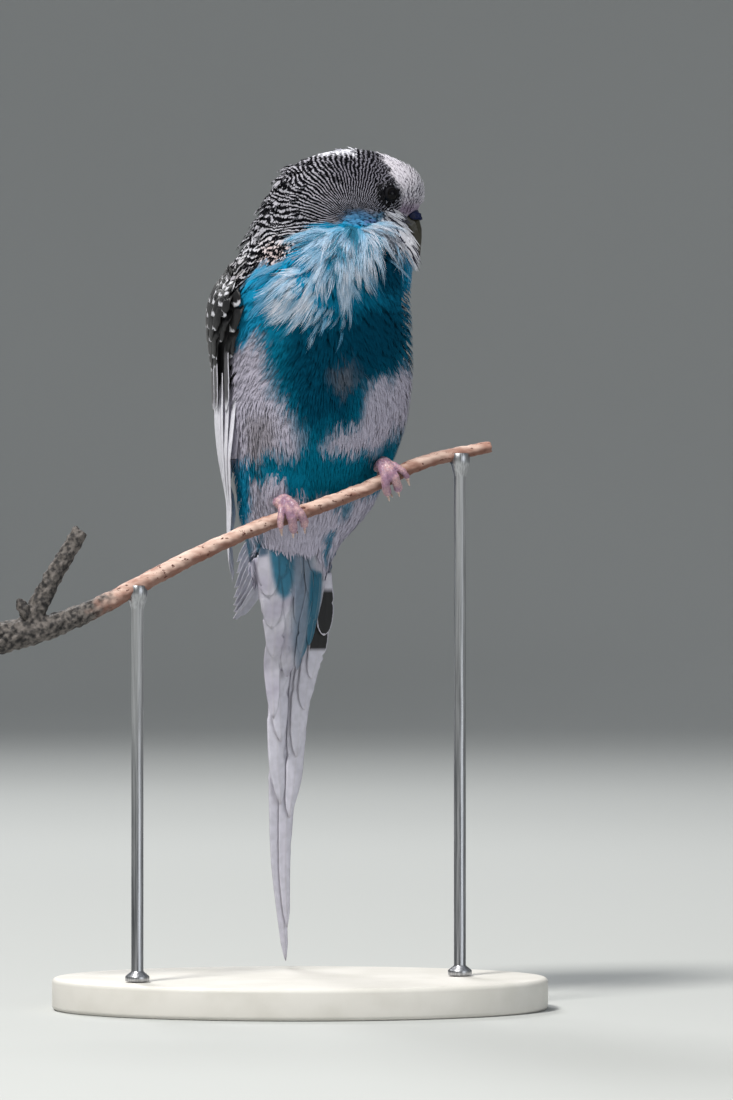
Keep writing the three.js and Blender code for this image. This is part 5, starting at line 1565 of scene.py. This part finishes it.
def refined(name, node, voxel, smooth, material, relief=None, shape=None):
    """A CAD node's surface made even, smoothed, reshaped and given relief."""
    points, quads = remeshed(*cad_solid([node]), voxel, smooth)
    if shape is not None:
        points = shape(points)
    if relief is not None:
        points = points + vertex_normals(points, quads) * relief(points)[:, None]
    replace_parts(make_object(name, points, [quads], material), node)


def cere_relief(p):
    """Fine folds, a slight swell at the base and a hollow towards the bill."""
    return 0.06 * waves(p, 1.6, 44) + np.interp(p[:, 0], [26.5, 29.5], [0.15, -0.5])


def bark_relief(p):
    """Long swells and small bumps, and coarse ones at the old thick end."""
    old = smoothstep(-44, -56, p[:, 0]) * 0.22
    return 0.12 * waves(p, 7, 41) + 0.07 * waves(p, 2.4, 42) + old * waves(p, 1.9, 43)


# The bill's horn is dark olive near the cere, its own colour darkened there by painted shade, and
# orange-brown towards the tip.
HORN = horn_look("horn", (50, 46, 32), (196, 112, 72), 185.5, 188.5)
CLAW = mottled_look("claw", ((206, 184, 168), (168, 138, 130)), 1.2, 0.3, 0.2, 0.38)
CERE = mottled_look("cere", ((2, 9, 44), (6, 22, 66)), 1.6, 0.35, 0.35, 0.55, Specular_IOR_Level=0.3)
FOOT = foot_look()
for node in ("bill_upper", "bill_lower"):
    refined(f"{node}_horn", node, 0.13, 6, HORN)
refined("cere_skin", "cere", 0.12, 5, CERE, relief=cere_relief)
for side, (*_, bend) in LEGS.items():
    refined(f"foot_{side}", f"leg_{side}", 0.2, 8, FOOT,
            relief=lambda p: 0.06 * waves(p, 1.5, 31), shape=lambda p, bend=bend: receded(p, *bend))
    for toe in ("inner", "middle", "outer", "hind"):
        refined(f"nail_{side}_{toe}", f"claw_{side}_{toe}", 0.11, 5, CLAW)
refined("branch", "perch", 0.36, 8, bark_look(), relief=bark_relief)


# Eyes with their lids

EYE = eye_look()
LID = mottled_look("lid", ((16, 16, 20), (9, 9, 12)), 0.8, 0.3, 0.4, 0.75, Specular_IOR_Level=0.12)
EYE_LEVEL = 203.0
EYE_FORWARD = 9.6
LID_POLAR = 45      # the lid's middle and half width on the eyeball, in degrees from its axis
LID_SPREAD = 9
BALL_SIDES = 56
LID_SIDES = 72
LID_ROUND = 14
PLEATS = 17
PLEAT_DEPTH = 0.14


def on_sphere(centre, axes, polar, around, radius):
    """Places round the first of three axes, at angles from it and a distance from a centre."""
    axis, first, second = axes
    radial = np.cos(around)[..., None] * first + np.sin(around)[..., None] * second
    way = np.cos(polar)[..., None] * axis + np.sin(polar)[..., None] * radial
    return centre + way * radius[..., None]


for node, side in (("eye_right", -1), ("eye_left", 1)):
    x, y, turn, front, half_side = body_section(np.array(EYE_LEVEL))
    out = half_side * np.sqrt(1 - (EYE_FORWARD / front) ** 2)
    normal = unit(level(turn) * EYE_FORWARD / front**2 + level(turn + 90) * side * out / half_side**2)
    first = unit(np.cross(normal, [0, 0, 1]))
    axes = (normal, first, np.cross(normal, first))
    polar = np.linspace(0.02, np.pi - 0.02, 40)[:, None]
    bulge = EYE_RADIUS + 0.1 * np.exp(-(polar / 0.5) ** 2)
    points, faces = ring_surface(on_sphere(EYES[node], axes, polar, circle(BALL_SIDES)[None, :], bulge))
    ring = np.concatenate([np.repeat(polar, BALL_SIDES), [0, np.pi]]) / np.radians(LID_POLAR - LID_SPREAD + 2)
    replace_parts(make_object(f"{node}_ball", points, faces, EYE, floats={"ring": ring}), node)
    around, tube = circle(LID_SIDES)[:, None], circle(LID_ROUND)[None, :]
    pleat = 1 + PLEAT_DEPTH * np.sin(around * PLEATS + 1.3) * np.cos(tube) ** 2
    polar = np.radians(LID_POLAR + LID_SPREAD * np.cos(tube))
    lid = on_sphere(EYES[node], axes, polar, around, EYE_RADIUS + 0.06 + 0.16 * pleat * np.sin(tube))
    quads = [grid_faces(LID_SIDES, LID_ROUND, closed=True), closing_faces(LID_SIDES, LID_ROUND)]
    make_object(f"{node}_lid", lid.reshape(-1, 3), [np.vstack(quads)], LID)


# Display stand

def turned_rings(profile, sides, x=0.0, y=0.0, stretch=(0, 0)):
    """Rings of a profile of radius and height, turned about a level middle and stretched into ovals."""
    radius, height = np.transpose(profile)[:, :, None]
    around = circle(sides)
    return np.stack([x + (radius + stretch[0]) * np.cos(around), y + (radius + stretch[1]) * np.sin(around),
                     np.repeat(height, sides, 1)], -1)


# An oval board; its flat faces close over a small oval in the middle.
BASE = {"half_length": 62, "half_width": 38, "height": 8, "bevel": 1.2, "sides": 128, "innermost": (2.6, 1.4)}
corner = np.radians(np.linspace(0, 90, 7))
bevel = BASE["bevel"] * np.stack([np.sin(corner) - 1, 1 - np.cos(corner)], -1)
lower = turned_rings(bevel, BASE["sides"], stretch=(BASE["half_length"], BASE["half_width"]))
innermost = turned_rings([(0, 0)], BASE["sides"], stretch=BASE["innermost"])
lower = np.concatenate([innermost, lower])
upper = lower[::-1] * [1, 1, -1] + [0, 0, BASE["height"]]
points, faces = ring_surface(np.concatenate([lower, upper]))
PAINT = mottled_look("stand_base", ((206, 203, 196), (214, 211, 205)), 12, 0.5, 0.06, 0.5)
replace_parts(make_object("stand_board", points, faces, PAINT), "stand_base")

ROD = brushed_look()
# Rod with a stepped foot and a collar: radius, and height over its lower end or under its top.
ROD_FOOT = [(0.6, 0), (2.9, 0), (3.0, 0.1), (3.0, 1.1), (2.9, 1.25), (1.6, 2.3), (1.5, 2.5)]
ROD_COLLAR = [(1.5, 5.9), (1.6, 5.6), (2.4, 2.8), (2.5, 2.5), (2.5, 0.1), (2.4, 0), (0.6, 0)]
for node in ("stand_rod_left", "stand_rod_right"):
    low, high = (np.array(corner_of) / MM for corner_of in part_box(node))
    profile = [(r, low[2] + z) for r, z in ROD_FOOT] + [(r, high[2] - z) for r, z in ROD_COLLAR]
    points, faces = ring_surface(turned_rings(profile, 40, (low[0] + high[0]) / 2, (low[1] + high[1]) / 2))
    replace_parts(make_object(f"{node}_metal", points, faces, ROD), node)


# Studio: a pale bowl all round, soft lights and a dim pale world. Its lengths are metres.

BOWL_FLAT = 2.2
BOWL_CURVE = 1.4
BOWL_SIDES = 96
curve = np.radians(np.linspace(0, 90, 16))[1:]
profile = [(0.02, 0), (0.6, 0), (1.4, 0), (BOWL_FLAT, 0)]
profile += [(BOWL_FLAT + BOWL_CURVE * np.sin(a), BOWL_CURVE * (1 - np.cos(a))) for a in curve]
profile += [(3.6, 2.4), (3.6, 3.4)]
mesh = bpy.data.meshes.new("studio")
quads = grid_faces(len(profile), BOWL_SIDES, closed=True)
points = turned_rings(profile, BOWL_SIDES).reshape(-1, 3)
mesh.from_pydata(points.tolist(), [], quads.tolist() + [list(range(BOWL_SIDES))[::-1]])
mesh.polygons.foreach_set("use_smooth", np.ones(len(mesh.polygons), bool))
look = Look("studio", Roughness=0.9, Specular_IOR_Level=0.1)
cloud = look.remap(look.noise(900, 1), 0.3, 0.7)
mesh.materials.append(look.finish(look.blend(cloud, srgb(176, 178, 176), srgb(182, 184, 182))))
linked("studio", mesh)

AIM = Vector((0.0, 0.0, 0.15))
# Lights: name, place, size, power and colour.
for name, place, size, power, colour in (
    ("key", (-0.55, -0.75, 1.45), 0.35, 34, (1.0, 0.98, 0.94)),
    ("fill", (1.4, -1.5, 0.6), 1.4, 10, (0.92, 0.96, 1.0)),
    ("rim", (-0.5, 1.1, 1.2), 0.6, 16, (1.0, 1.0, 1.0)),
):
    light = bpy.data.lights.new(name, "AREA")
    light.shape = "DISK"
    light.size = size
    light.energy = power
    light.color = colour
    lamp = linked(name, light)
    lamp.location = place
    lamp.rotation_euler = (AIM - Vector(place)).to_track_quat("-Z", "Y").to_euler()
world = bpy.data.worlds.new("world")
world.use_nodes = True
background = world.node_tree.nodes["Background"]
background.inputs["Color"].default_value = (0.85, 0.9, 1.0, 1)
background.inputs["Strength"].default_value = 0.4
bpy.context.scene.world = world
bpy.context.scene.view_settings.view_transform = "Standard"
